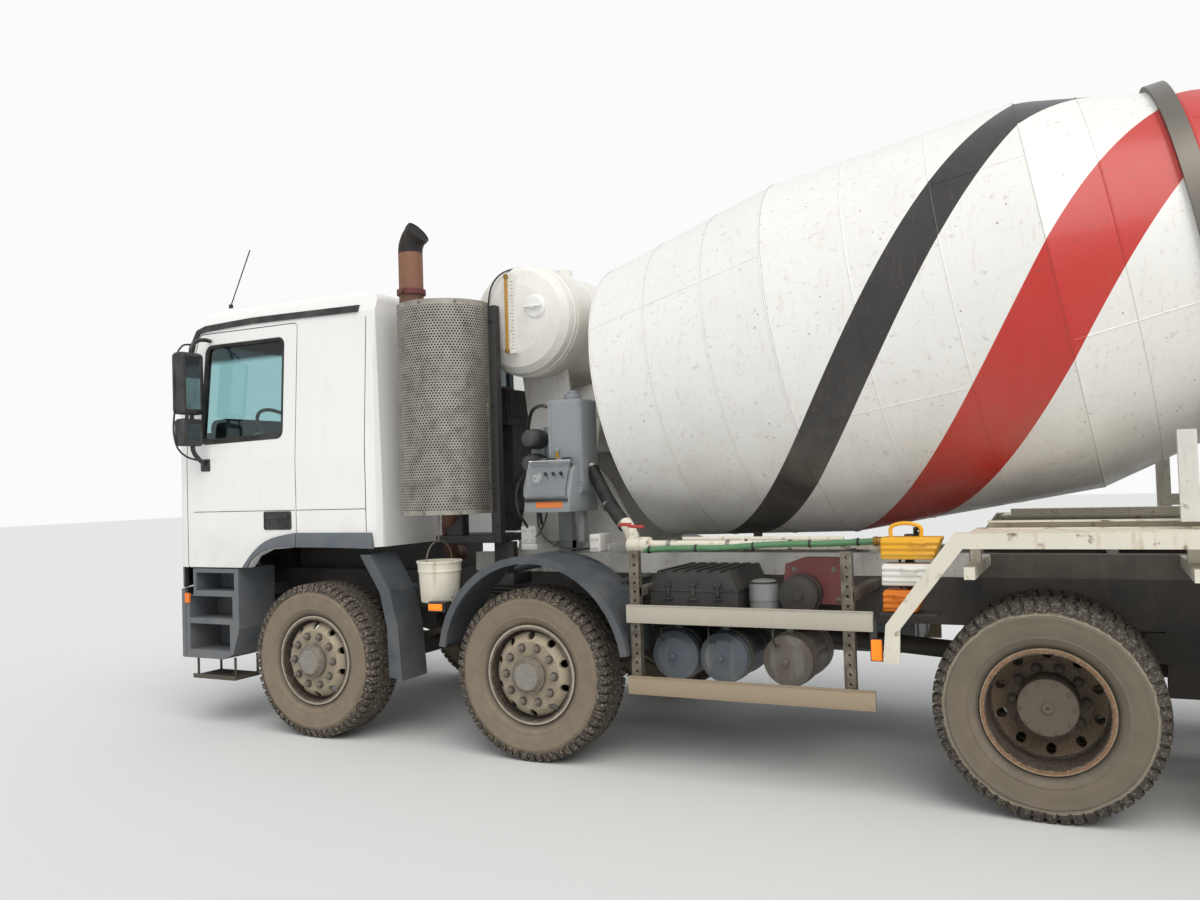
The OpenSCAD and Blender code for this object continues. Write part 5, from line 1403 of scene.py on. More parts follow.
clamp_bolts = ring_of(rod((-3.33 + 0.1, 0.938, 1.02), (-3.33 + 0.1, 0.96, 1.02), 0.009, 6, 1), 8,
                      (-3.33, 0.9, 1.02), (0, 1, 0))
piece(joined([chamber, clamp_bolts]), "valve_chamber", "chassis", "black_plastic", knuckle_paint)
piece(bolts([(-3.52, 0.9, 0.99), (-3.26, 0.9, 0.99), (-3.5, 0.9, 1.15), (-3.28, 0.9, 1.15)],
            (0, 1, 0), 11, 9, 15), "bracket_bolts", "chassis", "frame_paint", nut_steel)

# %% [markdown]
# ## Marker lamps
# Small lit amber lamps sit along the side, each on a black foot: a lying one behind the first
# wheel, and an upright one that hangs from the rear end of the upper rail.

# %% Side markers
markers, feet = [], []
for x, y, z, half_x, half_z in ((-1.066, 1.214, 0.917, 0.05, 0.02), (-3.774, 1.206, 0.776, 0.026, 0.052)):
    markers.append(block((x - half_x, y - 0.004, z - half_z), (x + half_x, y + 0.012, z + half_z), 5, 3))
    feet.append(block((x - half_x - 0.006, y - 0.008, z - half_z - 0.006),
                      (x + half_x + 0.006, y + 0.003, z + half_z + 0.006), 4))
feet.append(block((-1.13, 1.13, 0.885), (-1.0, 1.209, 0.95), 6))
feet.append(block((-3.776, 1.19, 0.74), (-3.74, 1.199, 0.93), 2))
on_both_sides(joined(markers), "side_markers", "lamp_plastic", amber_lens)
on_both_sides(joined(feet), "side_marker_feet", "black_plastic", gloss_black)

# %% [markdown]
# ## Weld seams and hatch of the drum
# The drum is rolled from steel plates. Its rings and long seams show as low beads under the
# paint, and an oval hatch with bolts closes an opening in its side.

# %% Seams of the drum
drum_axis = Vector((-math.cos(DRUM_TILT), 0, math.sin(DRUM_TILT)))
drum_rows = [(0.942, 0.0), (1.13, 1.19), (1.13, 2.605), (0.956, 3.22), (0.956, 3.34), (0.55, 4.25)]


def drum_r(s):
    """Outer radius of the drum at a way along its axis."""
    for (r0, s0), (r1, s1) in zip(drum_rows, drum_rows[1:]):
        if s <= s1:
            return r0 + (r1 - r0) * (s - s0) / (s1 - s0)
    return drum_rows[-1][0]


def on_drum(s, angle, lift=0.0):
    """A place on the drum at a way along it and an angle round it, lifted off the plate."""
    turn = drum_axis.to_track_quat("Z", "Y")
    r = drum_r(s) + lift
    p = drum_front + turn @ Vector((r * math.cos(angle), r * math.sin(angle), s))
    return p.x - axle_1, p.y, p.z


rings = []
for s in (0.0, 0.4, 0.8, 1.19, 1.66, 2.13, 2.605, 2.91, 3.6, 3.92):
    r = drum_r(s)
    foot = drum_front + drum_axis * s
    rings.append(spun([(r - 0.004, -0.007), (r + 0.0022, -0.004), (r + 0.0034, 0.0), (r + 0.0022, 0.004),
                       (r - 0.004, 0.007)], (foot.x - axle_1, foot.y, foot.z), drum_axis, 120))
long_seams = []
for s0, s1, turns in ((0.01, 1.18, (0.6, 2.7, 4.8)), (1.2, 2.12, (1.5, 3.6, 5.7)),
                      (2.14, 2.6, (0.5, 2.6, 4.7)), (2.62, 3.2, (1.4, 3.5, 5.6)),
                      (3.36, 4.2, (0.4, 2.5, 4.6))):
    for turn in turns:
        line = [on_drum(s0 + (s1 - s0) * k / 6, turn, -0.0015) for k in range(7)]
        long_seams.append(tube(line, 0.0042, False, False, 1))
piece(joined(rings + long_seams), "drum_seams", "drum", "white_paint", drum_paint)
HATCH_S, HATCH_TURN, around = 1.92, 0.75, 48
hatch_turns = [2 * math.pi * k / around for k in range(around)]
hatch_rows = [(0.21 * math.cos(t), 0.3 * math.sin(t)) for t in hatch_turns]


def hatch_line(scale, lift):
    """The hatch's oval, made smaller or lifted off the drum."""
    return [on_drum(HATCH_S + a * scale, HATCH_TURN + b * scale / drum_r(HATCH_S), lift) for a,
            b in hatch_rows]


lines = [hatch_line(1.0, -0.003), hatch_line(1.0, 0.007), hatch_line(0.97, 0.0105), hatch_line(0.8, 0.0105),
         hatch_line(0.78, 0.013), hatch_line(0.4, 0.014), hatch_line(0.02, 0.014)]
points = [at(*p) for line in lines for p in line]
faces = [(a * around + k, a * around + (k + 1) % around, (a + 1) * around + (k + 1) % around,
          (a + 1) * around + k)
         for a in range(len(lines) - 1) for k in range(around)]
faces.append(tuple(range((len(lines) - 1) * around, len(lines) * around)))
piece(outwards(mesh_of("Hatch", points, (), faces)), "drum_hatch", "drum", "white_paint", drum_paint)
hatch_bolts = [rod(spot, end, 0.012, 6, 1.0)
               for spot, end in list(zip(hatch_line(0.89, 0.01), hatch_line(0.89, 0.022)))[::4]]
piece(joined(hatch_bolts), "drum_hatch_bolts", "drum", "white_paint", nut_steel)

# %% [markdown]
# ## Water tank's gauge and cap
# A clear tube with a float shows the water's level against a scale. The hand hole has a
# clamped cap with a bar handle.

# %% Gauge and cap
ticks = [block((-1.398, 0.7252, z - 0.0012), (-1.398 + (0.026 if k % 5 == 0 else 0.014), 0.7262, z + 0.0012),
               0)
         for k, z in enumerate([2.57 + 0.0235 * k for k in range(20)])]
piece(joined(ticks), "gauge_ticks", "chassis", "black_plastic", gloss_black)
piece(tube([(-1.352, 0.738, 2.56), (-1.352, 0.738, 2.8), (-1.352, 0.738, 3.05)], 0.0095, False, False),
      "gauge_tube", "chassis", "glass_tinted", amber_oil)
ends = [rod((-1.352, 0.722, z), (-1.352, 0.748, z), 0.014, 6, 1) for z in (2.556, 3.052)]
ends += [rod((-1.352, 0.738, z - 0.014), (-1.352, 0.738, z + 0.014), 0.0125, 16, 1) for z in (2.556, 3.052)]
piece(joined(ends), "gauge_fittings", "chassis", "bare_steel", brass)
TANK_X, TANK_Z = -1.4, 2.775
cap_y = 0.65
cap = joined([spun([(0.0, 0.072), (0.05, 0.072), (0.0655, 0.0705), (0.0795, 0.06), (0.0805, 0.02),
                    (0.086, 0.016), (0.086, 0.0)], (-1.55, cap_y, 2.835), (0, 1, 0), 48),
              rod((-1.615, cap_y + 0.088, 2.835), (-1.485, cap_y + 0.088, 2.835), 0.01, 14, 2),
              rod((-1.55, cap_y + 0.068, 2.835), (-1.55, cap_y + 0.096, 2.835), 0.014, 14, 2)])
piece(cap, "hand_hole_cap", "chassis", "white_paint", white_paint)
beads = [spun([(0.372, -0.008), (0.3775, -0.004), (0.3785, 0.0), (0.3775, 0.004), (0.372, 0.008)],
              (TANK_X, y, TANK_Z), (0, 1, 0), 72) for y in (-0.56, 0.56, -0.18, 0.2)]
piece(joined(beads), "tank_weld_beads", "chassis", "white_paint", white_paint)
tank_cable = tube([(-1.2, 0.6, 2.58), (-1.17, 0.655, 2.7), (-1.19, 0.7, 2.9), (-1.26, 0.7, 3.06),
                   (-1.36, 0.61, 3.13), (-1.4, 0.5, 3.155)], 0.006)
piece(tank_cable, "gauge_cable", "chassis", "black_plastic", gloss_black)

# %% [markdown]
# ## Rear lamps and plate
# Each rear cluster has a red, an amber and a clear lens with fine ribs. The plate between
# them is blank.

# %% Rear lenses
for name, y0, y1, finish in (("red", 0.9, 1.085, red_lens), ("amber", 0.775, 0.892, amber_dull),
                             ("clear", 0.66, 0.768, lamp_glass)):
    lens = block((-6.938, y0, 0.612), (-6.922, y1, 0.728), 5, 3)
    fine_ribs = [block((-6.9395, y0 + 0.006, z), (-6.937, y1 - 0.006, z + 0.004), 0) for z in
                 [0.622 + 0.012 * k for k in range(9)]]
    on_both_sides(joined([lens, *fine_ribs]), f"rear_lens_{name}", "lamp_plastic", finish)
piece(thin_pane((-0.26, 0.6), (0.26, 0.71), 0.012, -6.905), "rear_plate", "chassis", "white_paint",
      blank_plate)
carrier = [block((-6.902, -0.27, 0.585), (-6.896, 0.27, 0.72), 3),
           block((-6.9, -0.04, 0.54), (-6.88, 0.04, 0.6), 3)]
piece(joined(carrier), "rear_plate_carrier", "chassis", "frame_paint", knuckle_paint)

# %% [markdown]
# ## Cab trim
# A black rubber drip rail runs along the roof's edge and down the front pillar, and a blue-grey
# plastic band edges the wheel's arch. The rail follows the cab's curved sheet, so its places are
# found on it by rays, as are those of the seam behind the door. Thin dark strips draw the seams between the
# sheets.

# %% Drip rail, arch band and seams


def rail_on_shell(low_line, high_line, lift):
    """A rail on the cab's side between two lines of (x, z), lifted off the sheet."""
    verts = []
    for low, high in zip(low_line, high_line):
        a, b = on_shell(low[0], 1.6, low[1], (0, -1, 0)), on_shell(high[0], 1.6, high[1], (0, -1, 0))
        if a and b:
            verts += [at(a[0], a[1] - 0.004, a[2]), at(a[0], a[1] + lift, a[2]),
                      at(b[0], b[1] + lift, b[2]), at(b[0], b[1] - 0.004, b[2])]
    last = len(verts)
    faces = [(k + j, k + (j + 1) % 4, k + 4 + (j + 1) % 4, k + 4 + j)
             for k in range(0, last - 4, 4) for j in range(4)]
    faces += [(3, 2, 1, 0), (last - 4, last - 3, last - 2, last - 1)]
    return outwards(mesh_of("Rail", verts, (), faces))


drip_low = [(-0.4, 2.868), (-0.15, 2.872), (0.15, 2.878), (0.58, 2.884), (0.8, 2.876), (1.03, 2.866),
            (1.085, 2.856), (1.128, 2.79), (1.15, 2.7), (1.168, 2.5), (1.188, 2.25), (1.203, 2.08)]
drip_high = [(-0.4, 2.916), (-0.15, 2.92), (0.15, 2.925), (0.58, 2.93), (0.8, 2.922), (1.04, 2.912),
             (1.118, 2.885), (1.16, 2.8), (1.178, 2.7), (1.193, 2.5), (1.211, 2.25), (1.224, 2.08)]
drip_rail = rail_on_shell(drip_low, drip_high, 0.014)
heights = [1.39 + 0.048 * k for k in range(31)]
back_seam = rail_on_shell([(-0.468, z) for z in heights], [(-0.463, z) for z in heights], 0.0008)
waist_seam = strip([(-0.462, CAB_Y, 1.541), (0.136, CAB_Y, 1.541)], (0, 1, 0), 0.0045, -0.002, 0.0008, False)
door_seam = strip([(0.152, CAB_Y, 1.541), (1.128, CAB_Y, 1.541)], (0, 1, 0), 0.0045, -0.002, 0.0008, False)
back_band = plate([(x, CAB_Y - 0.004, z) for x, z in ((0.139, 1.285), (0.139, 1.385), (-0.515, 1.383),
                                                      (-0.53, 1.277), (-0.08, 1.285))], (0, 1, 0), 0.019)
front_band = plate([(x, CAB_Y - 0.004, z) for x, z in (
    (0.146, 1.285), (0.3, 1.281), (0.4, 1.27), (0.475, 1.247), (0.53, 1.22), (0.572, 1.182), (0.6, 1.14),
    (0.648, 1.14), (0.624, 1.168), (0.6, 1.195), (0.562, 1.234), (0.52, 1.268), (0.475, 1.3), (0.43, 1.325),
    (0.37, 1.347), (0.3, 1.362), (0.22, 1.376), (0.146, 1.385))], (0, 1, 0), 0.019)
for band in (back_band, front_band):
    bevelled(band, 3)
recess = box_line((0.19, 1.412), (0.435, 1.53), 0.01)
handle_plate = joined([strip([(x, CAB_Y, z) for x, z in recess], (0, 1, 0), 0.01, -0.003, 0.0045),
                       plate([(x, CAB_Y - 0.003, z) for x, z in recess], (0, 1, 0), 0.0042),
                       block((0.212, CAB_Y - 0.001, 1.48), (0.412, CAB_Y + 0.013, 1.512), 5, 3),
                       rod((0.395, CAB_Y, 1.445), (0.395, CAB_Y + 0.006, 1.445), 0.011, 20, 1)])
for side, turn in SIDES:
    piece(turn(drip_rail), f"drip_rail_{side}", "cab", "black_plastic", seal_rubber)
    piece(joined([turn(back_seam), turn(waist_seam)]), f"cab_seams_{side}", "cab", "black_plastic",
          seal_rubber)
    piece(turn(door_seam), f"door_seam_{side}", f"door_{side}", "black_plastic", seal_rubber)
    piece(turn(back_band), f"arch_band_rear_{side}", "cab", "grey_plastic", arch_plastic)
    piece(turn(front_band), f"arch_band_front_{side}", f"door_{side}", "grey_plastic", arch_plastic)
    piece(turn(handle_plate), f"door_handle_plate_{side}", f"door_{side}", "black_plastic", gloss_black)
remove_all((drip_rail, back_seam, waist_seam, door_seam, back_band, front_band, handle_plate))

# %% Grille: a dark panel and its slats on the cab's front


def front_skin(rows, low, high, columns=24):
    """A closed skin over the cab's front between rows of (height, half width)."""
    grid = []
    for z, half in rows:
        for i in range(columns + 1):
            y = -half + 2 * half * i / columns
            grid.append(on_shell(2.2, y, z, (-1, 0, 0)) or (1.4, y, z))
    count, wide = len(grid), columns + 1
    verts = [at(x + low, y, z) for x, y, z in grid] + [at(x + high, y, z) for x, y, z in grid]
    faces = []
    for r in range(len(rows) - 1):
        for c in range(columns):
            a, b = r * wide + c, (r + 1) * wide + c
            faces += [(a, a + 1, b + 1, b), (count + a, count + b, count + b + 1, count + a + 1)]
    rim = list(range(wide)) + [r * wide + columns for r in range(1, len(rows))]
    rim += [(len(rows) - 1) * wide + c for c in range(columns - 1, -1, -1)]
    rim += [r * wide for r in range(len(rows) - 2, 0, -1)]
    faces += [(a, b, count + b, count + a) for a, b in zip(rim, rim[1:] + rim[:1])]
    return outwards(mesh_of("Skin", verts, (), faces))


def grille_half(z):
    """Half width of the grille at a height."""
    return 0.64 + 0.16 * (z - 1.23) / 0.56


panel = front_skin([(z, grille_half(z)) for z in (1.23, 1.33, 1.43, 1.53, 1.63, 1.73, 1.79)], -0.003, 0.003)
slats = [front_skin([(z, grille_half(z) - 0.02) for z in (base, base + 0.02, base + 0.058)], 0.002, 0.011)
         for base in (1.247, 1.339, 1.431, 1.523, 1.615, 1.707)]
piece(panel, "grille_panel", "cab", "black_plastic", seal_rubber)
piece(joined(slats), "grille_slats", "cab", "black_plastic", black_plastic)

# %% [markdown]
# ## Controls, filters and pipes
# The drum is driven by oil. Its tank, the levers' housing and the filters stand on brackets
# behind the cab, and steel pipes and a wash hose run back along the frame. They replace the
# plain solid that stands for them.

# %% Oil tank, lever housing, filter head and brackets
oil_tank = block((-1.93, 0.6, 1.66), (-1.69, 0.82, 2.2), 14, 3)
tank_foot = rod((-1.81, 0.602, 1.668), (-1.81, 0.818, 1.668), 0.118, 40, 8)
housing = plate([(-1.9, y, z) for y, z in ((0.56, 1.49), (0.96, 1.49), (0.96, 1.56), (0.88, 1.78),
                                           (0.7, 1.78), (0.56, 1.56))], (1, 0, 0), 0.32)
bevelled(housing, 6)
filter_head = [block((-1.6, 0.62, 1.74), (-1.5, 0.72, 2.04), 8, 3),
               block((-1.691, 0.64, 1.79), (-1.599, 0.7, 2.03), 5)]
stand = [block((-1.7, 0.417, 1.215), (-1.6, 0.56, 1.295), 4), block((-1.7, 0.5, 1.215), (-1.6, 0.56, 1.5), 4),
         block((-1.86, 0.64, 1.29), (-1.82, 0.7, 1.5), 4)]
piece(joined([oil_tank, tank_foot, housing, *filter_head, *stand]), "oil_tank_and_housing", "chassis",
      "control_grey", grey_paint, "controls_and_hoses")
boxes = [block((-1.57, 0.417, 1.245), (-1.45, 0.795, 1.285), 4),
         block((-1.565, 0.64, 1.284), (-1.45, 0.795, 1.4), 9, 3),
         block((-2.08, 0.417, 1.245), (-2.0, 0.795, 1.285), 4),
         block((-2.075, 0.74, 1.284), (-2.0, 0.795, 1.35), 6, 3),
         block((-2.075, 0.78, 1.24), (-2.0, 0.9, 1.35), 9, 3)]
boxes.append(bolts([(-1.535, 0.795, 1.312), (-1.48, 0.795, 1.312), (-1.535, 0.795, 1.372),
                    (-1.48, 0.795, 1.372), (-2.052, 0.9, 1.27), (-2.022, 0.9, 1.27), (-2.052, 0.9, 1.325),
                    (-2.022, 0.9, 1.325)],
                   (0, 1, 0), 8, 7, 12))
piece(joined(boxes), "valve_boxes", "chassis", "white_paint", subframe_paint_with_painted_shade)

# %% Pipes, hoses and their brackets
hangers = []
for x in (-2.42, -3.05, -3.65):
    hangers += [block((x, 0.417, 1.25), (x + 0.04, 0.98, 1.262), 2),
                block((x + 0.01, 0.936, 1.261), (x + 0.03, 0.98, 1.322), 3)]
piece(joined(hangers), "pipe_hangers", "chassis", "frame_paint", chassis_paint)
water_pipe = [rod((-2.3, 0.96, 1.29), (-3.76, 0.96, 1.29), 0.026, 24, 3),
              rod((-2.3, 0.955, 1.29), (-2.44, 0.975, 1.29), 0.048, 32, 6),
              rod((-3.0, 0.96, 1.29), (-3.05, 0.96, 1.29), 0.034, 6, 3),
              rod((-3.71, 0.96, 1.29), (-3.77, 0.96, 1.29), 0.036, 6, 4),
              rod((-2.62, 0.9, 1.318), (-3.56, 0.9, 1.318), 0.015, 16, 2),
              tube([(-2.24, 0.88, 1.42), (-2.29, 0.915, 1.365), (-2.33, 0.96, 1.3)], 0.04, sides=5)]
piece(joined(water_pipe), "water_pipes", "chassis", "cream_paint", cream_paint)
wash_hose = plastic("Green wash hose", "4E8256", 0.45, 3.0, 0.1, 2.2)
route = [(-2.42, 1.005, 1.262), (-2.6, 1.006, 1.272), (-2.9, 1.004, 1.276), (-3.2, 1.006, 1.296),
         (-3.48, 1.005, 1.3), (-3.74, 1.005, 1.312)]
piece(tube(route, 0.017, sides=4), "wash_hose", "chassis", "control_grey", wash_hose)


def hose_point(t):
    """A place along the suction hose, from the oil tank down to the pipe's elbow."""
    a, b, c = Vector((-1.935, 0.7, 1.76)), Vector((-2.08, 0.78, 1.52)), Vector((-2.24, 0.88, 1.405))
    return a * (1 - t) ** 2 + b * 2 * t * (1 - t) + c * t * t


hose = [tube([tuple(hose_point(i / 8)) for i in range(9)], 0.0395, sides=5)]
for i in range(1, 30):
    t = i / 30
    way = (hose_point(t + 0.01) - hose_point(t - 0.01)).normalized()
    hose.append(spun([(0.0385, -0.0052), (0.043, -0.0028), (0.043, 0.0028), (0.0385, 0.0052)],
                     tuple(hose_point(t)), way, 24))
piece(joined(hose), "suction_hose", "chassis", "black_plastic", seal_rubber)
cables = [tube([(-1.64, 0.9, 1.492), (-1.65, 0.905, 1.4), (-1.7, 0.9, 1.32), (-1.83, 0.86, 1.262),
                (-2.03, 0.83, 1.262)], 0.007),
          tube([(-1.7, 0.88, 1.492), (-1.69, 0.9, 1.43), (-1.64, 0.88, 1.36), (-1.56, 0.79, 1.33)], 0.006),
          tube([(-1.56, 0.76, 1.76), (-1.5, 0.86, 1.7), (-1.47, 0.86, 1.52), (-1.5, 0.79, 1.39)], 0.009),
          tube([(-1.69, 0.65, 2.12), (-1.56, 0.7, 2.18), (-1.44, 0.64, 2.06), (-1.4, 0.52, 1.8),
                (-1.42, 0.45, 1.3)], 0.012)]
piece(joined(cables), "control_cables", "chassis", "black_plastic", gloss_black)

# %% [markdown]
# ## Silencer and stack
# The silencer is a drum behind the guard. The stack above it has a clamped collar and a mouth
# that turns to the rear, and the hot steel has rusted brown. One pipe comes up from the engine.

# %% Silencer, stack, mouth, pipe and post
silencer = spun([(0.0, 0.0), (0.18, 0.0), (0.215, 0.012), (0.232, 0.045), (0.232, 1.185), (0.215, 1.218),
                 (0.18, 1.23), (0.0, 1.23)],
                (-0.935, 0.87, 1.53), (0, 0, 1), 48)
shield_line = [(GUARD[0] + 0.296 * math.cos(t), GUARD[1] + 0.296 * math.sin(t), 0)
               for t in [math.radians(-8 + 196 * k / 40) for k in range(41)]]
shield = strip(shield_line, (0, 0, 1), 0.003, 1.5, 2.868, False)
piece(shield, "heat_shield", "chassis", "black_plastic", box_black)
BEND = 0.15
turns = [math.radians(56) * k / 8 for k in range(9)]
mouth = [(STACK[0] - BEND + BEND * math.cos(t), STACK[1], 3.245 + BEND * math.sin(t)) for t in turns]
stack_pipe = tube([(*STACK, z) for z in (2.7, 2.95, 3.24)] + mouth[1:], 0.081, False, False, 8)
end, before = Vector(mouth[-1]), Vector(mouth[-2])
way = (end - before).normalized()
lip = spun([(0.066, -0.03), (0.0835, -0.03), (0.086, -0.02), (0.086, 0.006), (0.076, 0.006), (0.0745, -0.03)],
           tuple(end), way, 40)
collar = spun([(0.081, 0.0), (0.096, 0.002), (0.096, 0.036), (0.081, 0.038)], (*STACK, 2.953), (0, 0, 1), 40)
clamp = joined([block((-0.768, 1.066, 2.96), (-0.752, 1.094, 2.986), 3),
                rod((-0.78, 1.084, 2.973), (-0.74, 1.084, 2.973), 0.006, 8)])
up_pipe = tube([(-0.6, 0.24, 1.18), (-0.6, 0.33, 1.19), (-0.68, 0.48, 1.29), (-0.82, 0.69, 1.4),
                (-0.9, 0.8, 1.47), (-0.905, 0.805, 1.55)], 0.055, sides=6)
piece(joined([silencer, stack_pipe, lip, collar, clamp, up_pipe]), "exhaust_stack_pipes", "chassis",
      "hot_steel", stack_paint, "exhaust_stack")
# The disc in the stack's mouth is soot and painted shade, standing for the pipe's open inside.
hollow = rod(tuple(end - way * 0.004), tuple(end + way * 0.0025), 0.0755, 36)
piece(hollow, "stack_mouth", "chassis", "hot_steel", soot_and_painted_shade)
post = [block((-1.3, 0.74, 1.29), (-1.23, 0.8, 2.86), 4), block((-1.25, 0.417, 1.29), (-0.78, 0.8, 1.34), 4),
        block((-1.0, 0.72, 1.34), (-0.87, 0.8, 1.535), 4), block((-1.3, 0.59, 1.075), (-1.15, 0.65, 1.29), 4),
        block((-1.3, 0.417, 1.0), (-1.15, 0.65, 1.075), 4),
        block((-1.232, 0.77, 2.74), (-1.12, 0.8, 2.79), 3),
        block((-1.232, 0.77, 1.64), (-1.12, 0.8, 1.69), 3)]
post.append(bolts([(-1.265, 0.8, z) for z in (1.4, 1.66, 2.2, 2.76)], (0, 1, 0), 11, 9, 17))
piece(joined(post), "silencer_post", "chassis", "black_plastic", box_black)

# %% [markdown]
# ## Side rails, chocks, bucket and steps
# The rails stand on folded posts with rows of punched holes, cut with a Boolean modifier. The
# wheel chocks are ribbed plastic wedges in a bracket, and a bucket hangs behind the first wheel.

# %% Side rails on their punched posts
guard_side = joined([block((-3.76, 1.185, z), (-2.383, 1.215, z + 0.099), 3) for z in RAIL_Z])
posts = []
for x in (-2.455, -3.66):
    folded = cut(block((x, 1.14, 0.5), (x + 0.06, 1.185, 1.27), 2),
                 block((x - 0.01, 1.146, 0.49), (x + 0.054, 1.179, 1.28), 0))
    holes = joined([rod((x + 0.027, 1.1, z), (x + 0.027, 1.2, z), 0.008, 16)
                    for z in [0.54 + 0.05 * k for k in range(15)]])
    posts += [cut(folded, holes), block((x, 0.417, 1.01), (x + 0.06, 1.146, 1.06), 3)]
posts = joined(posts)
piece(joined([guard_side, mirrored(guard_side)]), "side_guard_rails", "chassis", "galvanised", galvanised,
      "side_guards")
piece(joined([posts, mirrored(posts)]), "side_guard_posts", "chassis", "galvanised", post_steel)

# %% Wheel chocks and the bucket
chocks = []
for i in range(3):
    base, back = 0.955 + 0.135 * i, -3.96 - 0.045 * i
    body = plate([(back, 0.965, base), (-3.79, 0.965, base), (-3.8 + 0.004 * i, 0.965, base + 0.112),
                  (back - 0.045, 0.965, base + 0.112)],
                 (0, 1, 0), 0.14)
    chocks.append(bevelled(body, 9, 3))
    for step in (0.02, 0.05, 0.08):
        chocks.append(rod((back - 0.002 - step * 0.4, 1.099, base + step + 0.008),
                          (-3.796, 1.099, base + step + 0.008), 0.013, 16, 3))
    chocks.append(tube([(back + 0.03, 1.106, base + 0.085), (back + 0.034, 1.122, base + 0.085),
                        (back + 0.1, 1.124, base + 0.088), (back + 0.11, 1.106, base + 0.09)], 0.006))
chocks += [tube([(-3.985, 1.035, 1.325), (-3.985, 1.035, 1.385), (-3.965, 1.035, 1.398),
                 (-3.855, 1.035, 1.398), (-3.838, 1.035, 1.385), (-3.838, 1.035, 1.325)], 0.01)]
piece(joined(chocks), "wheel_chocks", "chassis", "chock_plastic", chock_plastic, "stowed_gear")
chock_bracket = [block((-3.93, 0.9, 0.945), (-3.89, 0.966, 1.345), 3),
                 block((-3.93, 0.417, 1.0), (-3.89, 0.901, 1.04), 3),
                 block((-4.06, 0.95, 0.94), (-3.78, 1.115, 0.952), 2),
                 rod((-3.86, 0.94, 0.952), (-3.86, 0.94, 1.33), 0.007, 10)]
piece(joined(chock_bracket), "chock_bracket", "chassis", "frame_paint", chassis_paint)
bucket = spun([(0.0, 0.0), (0.118, 0.0), (0.122, 0.006), (0.134, 0.19), (0.139, 0.192), (0.14, 0.204),
               (0.138, 0.208), (0.141, 0.25), (0.147, 0.25), (0.147, 0.262), (0.134, 0.262), (0.114, 0.012),
               (0.0, 0.012)], (-0.985, 1.05, 0.935), (0, 0, 1), 48)
grip = tube([(-0.985, 1.05 + 0.14 * math.cos(t), 1.185 + 0.14 * math.sin(t))
             for t in [math.pi * k / 12 for k in range(13)]], 0.0035)
piece(bucket, "bucket", "chassis", "cream_paint", cream_paint)
piece(joined([grip, tube([(-0.985, 1.05, 1.318), (-0.985, 1.052, 1.345), (-0.985, 1.05, 1.4),
                          (-0.985, 1.045, 1.489)], 0.005)]),
      "bucket_grip", "chassis", "bare_steel", nut_steel)

# %% Hanging steps, mudguard channel and mud flaps
under_step = [block((0.76, 0.87, 0.33), (1.18, 1.13, 0.35), 4),
              block((0.76, 1.118, 0.348), (1.18, 1.13, 0.362), 3)]
for x in (0.775, 1.145):
    for y in (0.885, 1.095):
        under_step.append(block((x, y, 0.345), (x + 0.02, y + 0.008, 0.49), 2))
for k in range(9):
    under_step.append(block((0.79 + k * 0.043, 0.885, 0.349), (0.806 + k * 0.043, 1.112, 0.353), 1))
channel_rows = ((0.78, 1.363), (0.86, 1.363), (0.86, 1.37), (0.787, 1.37), (0.787, 1.398), (0.86, 1.398),
                (0.86, 1.405), (0.78, 1.405))
channel = plate([(-6.3, y, z) for y, z in channel_rows], (1, 0, 0), 2.01)
flap = block((-6.672, 0.7, 0.56), (-6.66, 1.235, 1.056), 3)
on_both_sides(joined(under_step), "lowest_step", "bare_steel", knuckle_paint)
on_both_sides(channel, "mudguard_channel", "cream_paint", cream_paint)
on_both_sides(flap, "mud_flap", "black_plastic", seal_rubber)

# %% Straps on the fuel tank and the water tank
fuel_line = box_line((-3.7, 0.48), (-2.45, 1.01), 0.09, 6)
fuel_straps = [strip([(p.x, y, p.y) for p in fuel_line], (0, 1, 0), 0.01, -0.025, 0.025)
               for y in (-0.56, -0.96)]
piece(joined(fuel_straps), "fuel_tank_straps", "chassis", "bare_steel", nut_steel)
water_straps = [hoop(0.373, 0.3815, 0.025, (TANK_X, y, TANK_Z), (0, 1, 0), 64) for y in (-0.5, 0.5)]
piece(joined(water_straps), "water_tank_straps", "chassis", "white_paint", tank_white)

# %% [markdown]
# ## Hopper, chute and ladder
# Thin sheet is stiffened along its edges: a folded rim round the hopper, flat bars along the
# chute. A ladder with a small platform, on the right, leads up to the hopper.

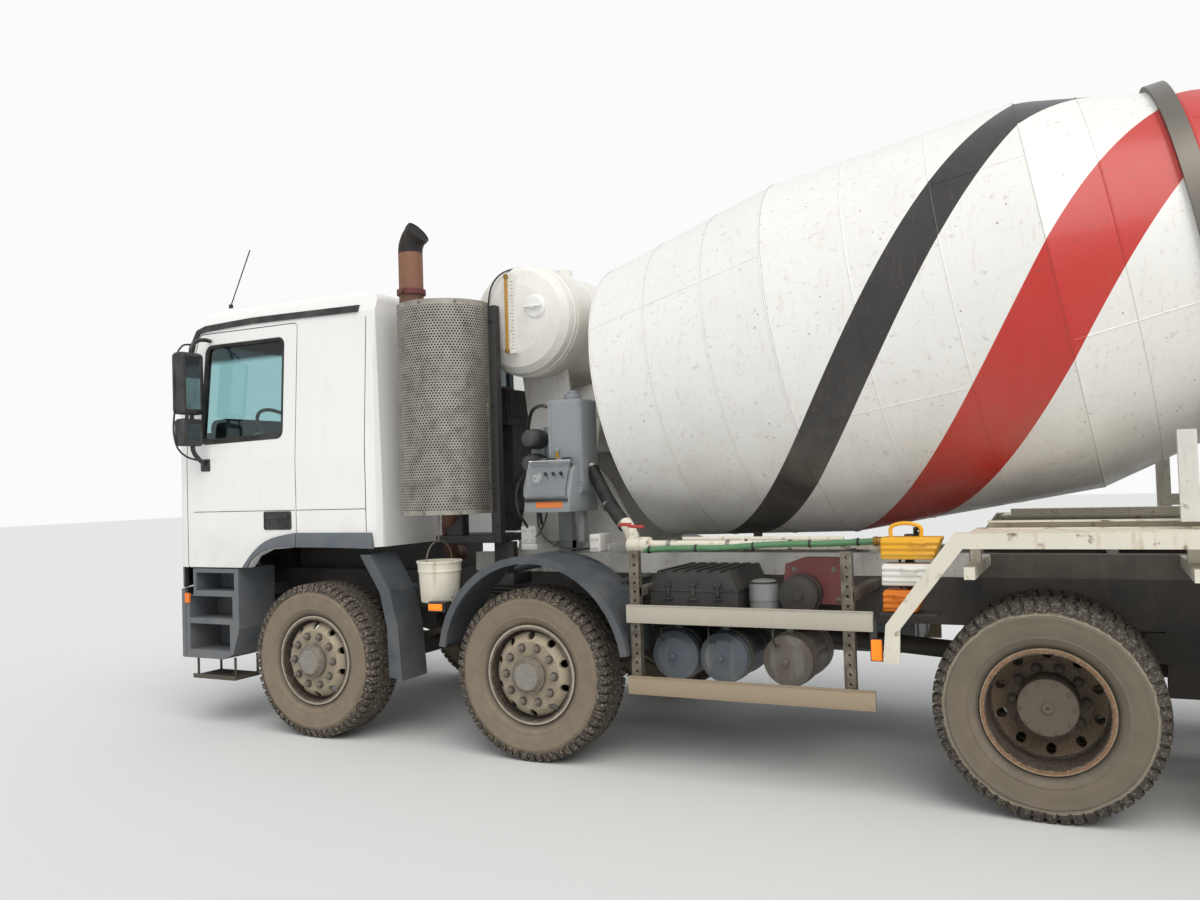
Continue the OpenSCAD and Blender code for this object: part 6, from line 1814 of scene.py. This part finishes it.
# %% Rims
rim = strip([(-7.002, -0.522, 0), (-6.118, -0.522, 0), (-6.118, 0.522, 0), (-7.002, 0.522, 0)], (0, 0, 1),
            0.022, 3.744, 3.792)
piece(rim, "hopper_rim", "chassis", "white_paint", hopper_paint)
half_turn, fall = Matrix.Rotation(math.pi, 4, "Z"), Matrix.Rotation(math.radians(18), 4, "Y")
chute_turn = Matrix.Translation(at(-7.0, 0, 1.66)) @ half_turn @ fall @ Matrix.Translation(-at(0, 0, 0))
chute_bars = joined([block((-0.15, s * 0.236 - 0.009, 0.252), (1.0, s * 0.236 + 0.009, 0.276), 3)
                     for s in (-1, 1)])
piece(moved(chute_bars, chute_turn), "chute_rims", "chute", "white_paint", hopper_paint)
bpy.data.objects.remove(chute_bars)

# %% Ladder and platform on the right


def ladder_y(z):
    """How far out the leaning ladder stands at a height."""
    return 1.15 - 0.3 * (z - 1.42) / 2.1


ladder = [rod((x, -ladder_y(1.42), 1.42), (x, -ladder_y(3.52), 3.52), 0.017, 16, 3) for x in (-6.48, -6.16)]
for z in [1.46 + 0.27 * k for k in range(4)] + [3.48]:
    ladder.append(rod((-6.48, -ladder_y(z), z), (-6.16, -ladder_y(z), z), 0.013, 14))
ladder += [strip([(-6.49, -0.705, 0), (-6.15, -0.705, 0), (-6.15, -0.99, 0), (-6.49, -0.99, 0)], (0, 0, 1),
                 0.024, 2.598, 2.624)]
for k in range(6):
    ladder.append(block((-6.47 + 0.054 * k, -0.985, 2.604), (-6.452 + 0.054 * k, -0.705, 2.62), 2))
ladder += [block((-6.37, -1.13, 1.56), (-6.33, -0.69, 1.6), 3),
           block((-6.4, -0.76, 2.585), (-6.34, -0.69, 2.622), 3)]
piece(joined(ladder), "access_ladder", "chassis", "white_paint", hopper_paint)

# %% [markdown]
# ## Floor
# A wide pale floor that meets the white sky. It keeps the truck's shadow.

# %% Floor
bpy.ops.mesh.primitive_plane_add(size=120)
floor = bpy.context.object
floor.name = "Floor"
floor_paint, tree, shader, place = material("Pale floor", Base_Color=srgb("D6D6D4"), Roughness=0.9)
floor.data.materials.append(floor_paint)
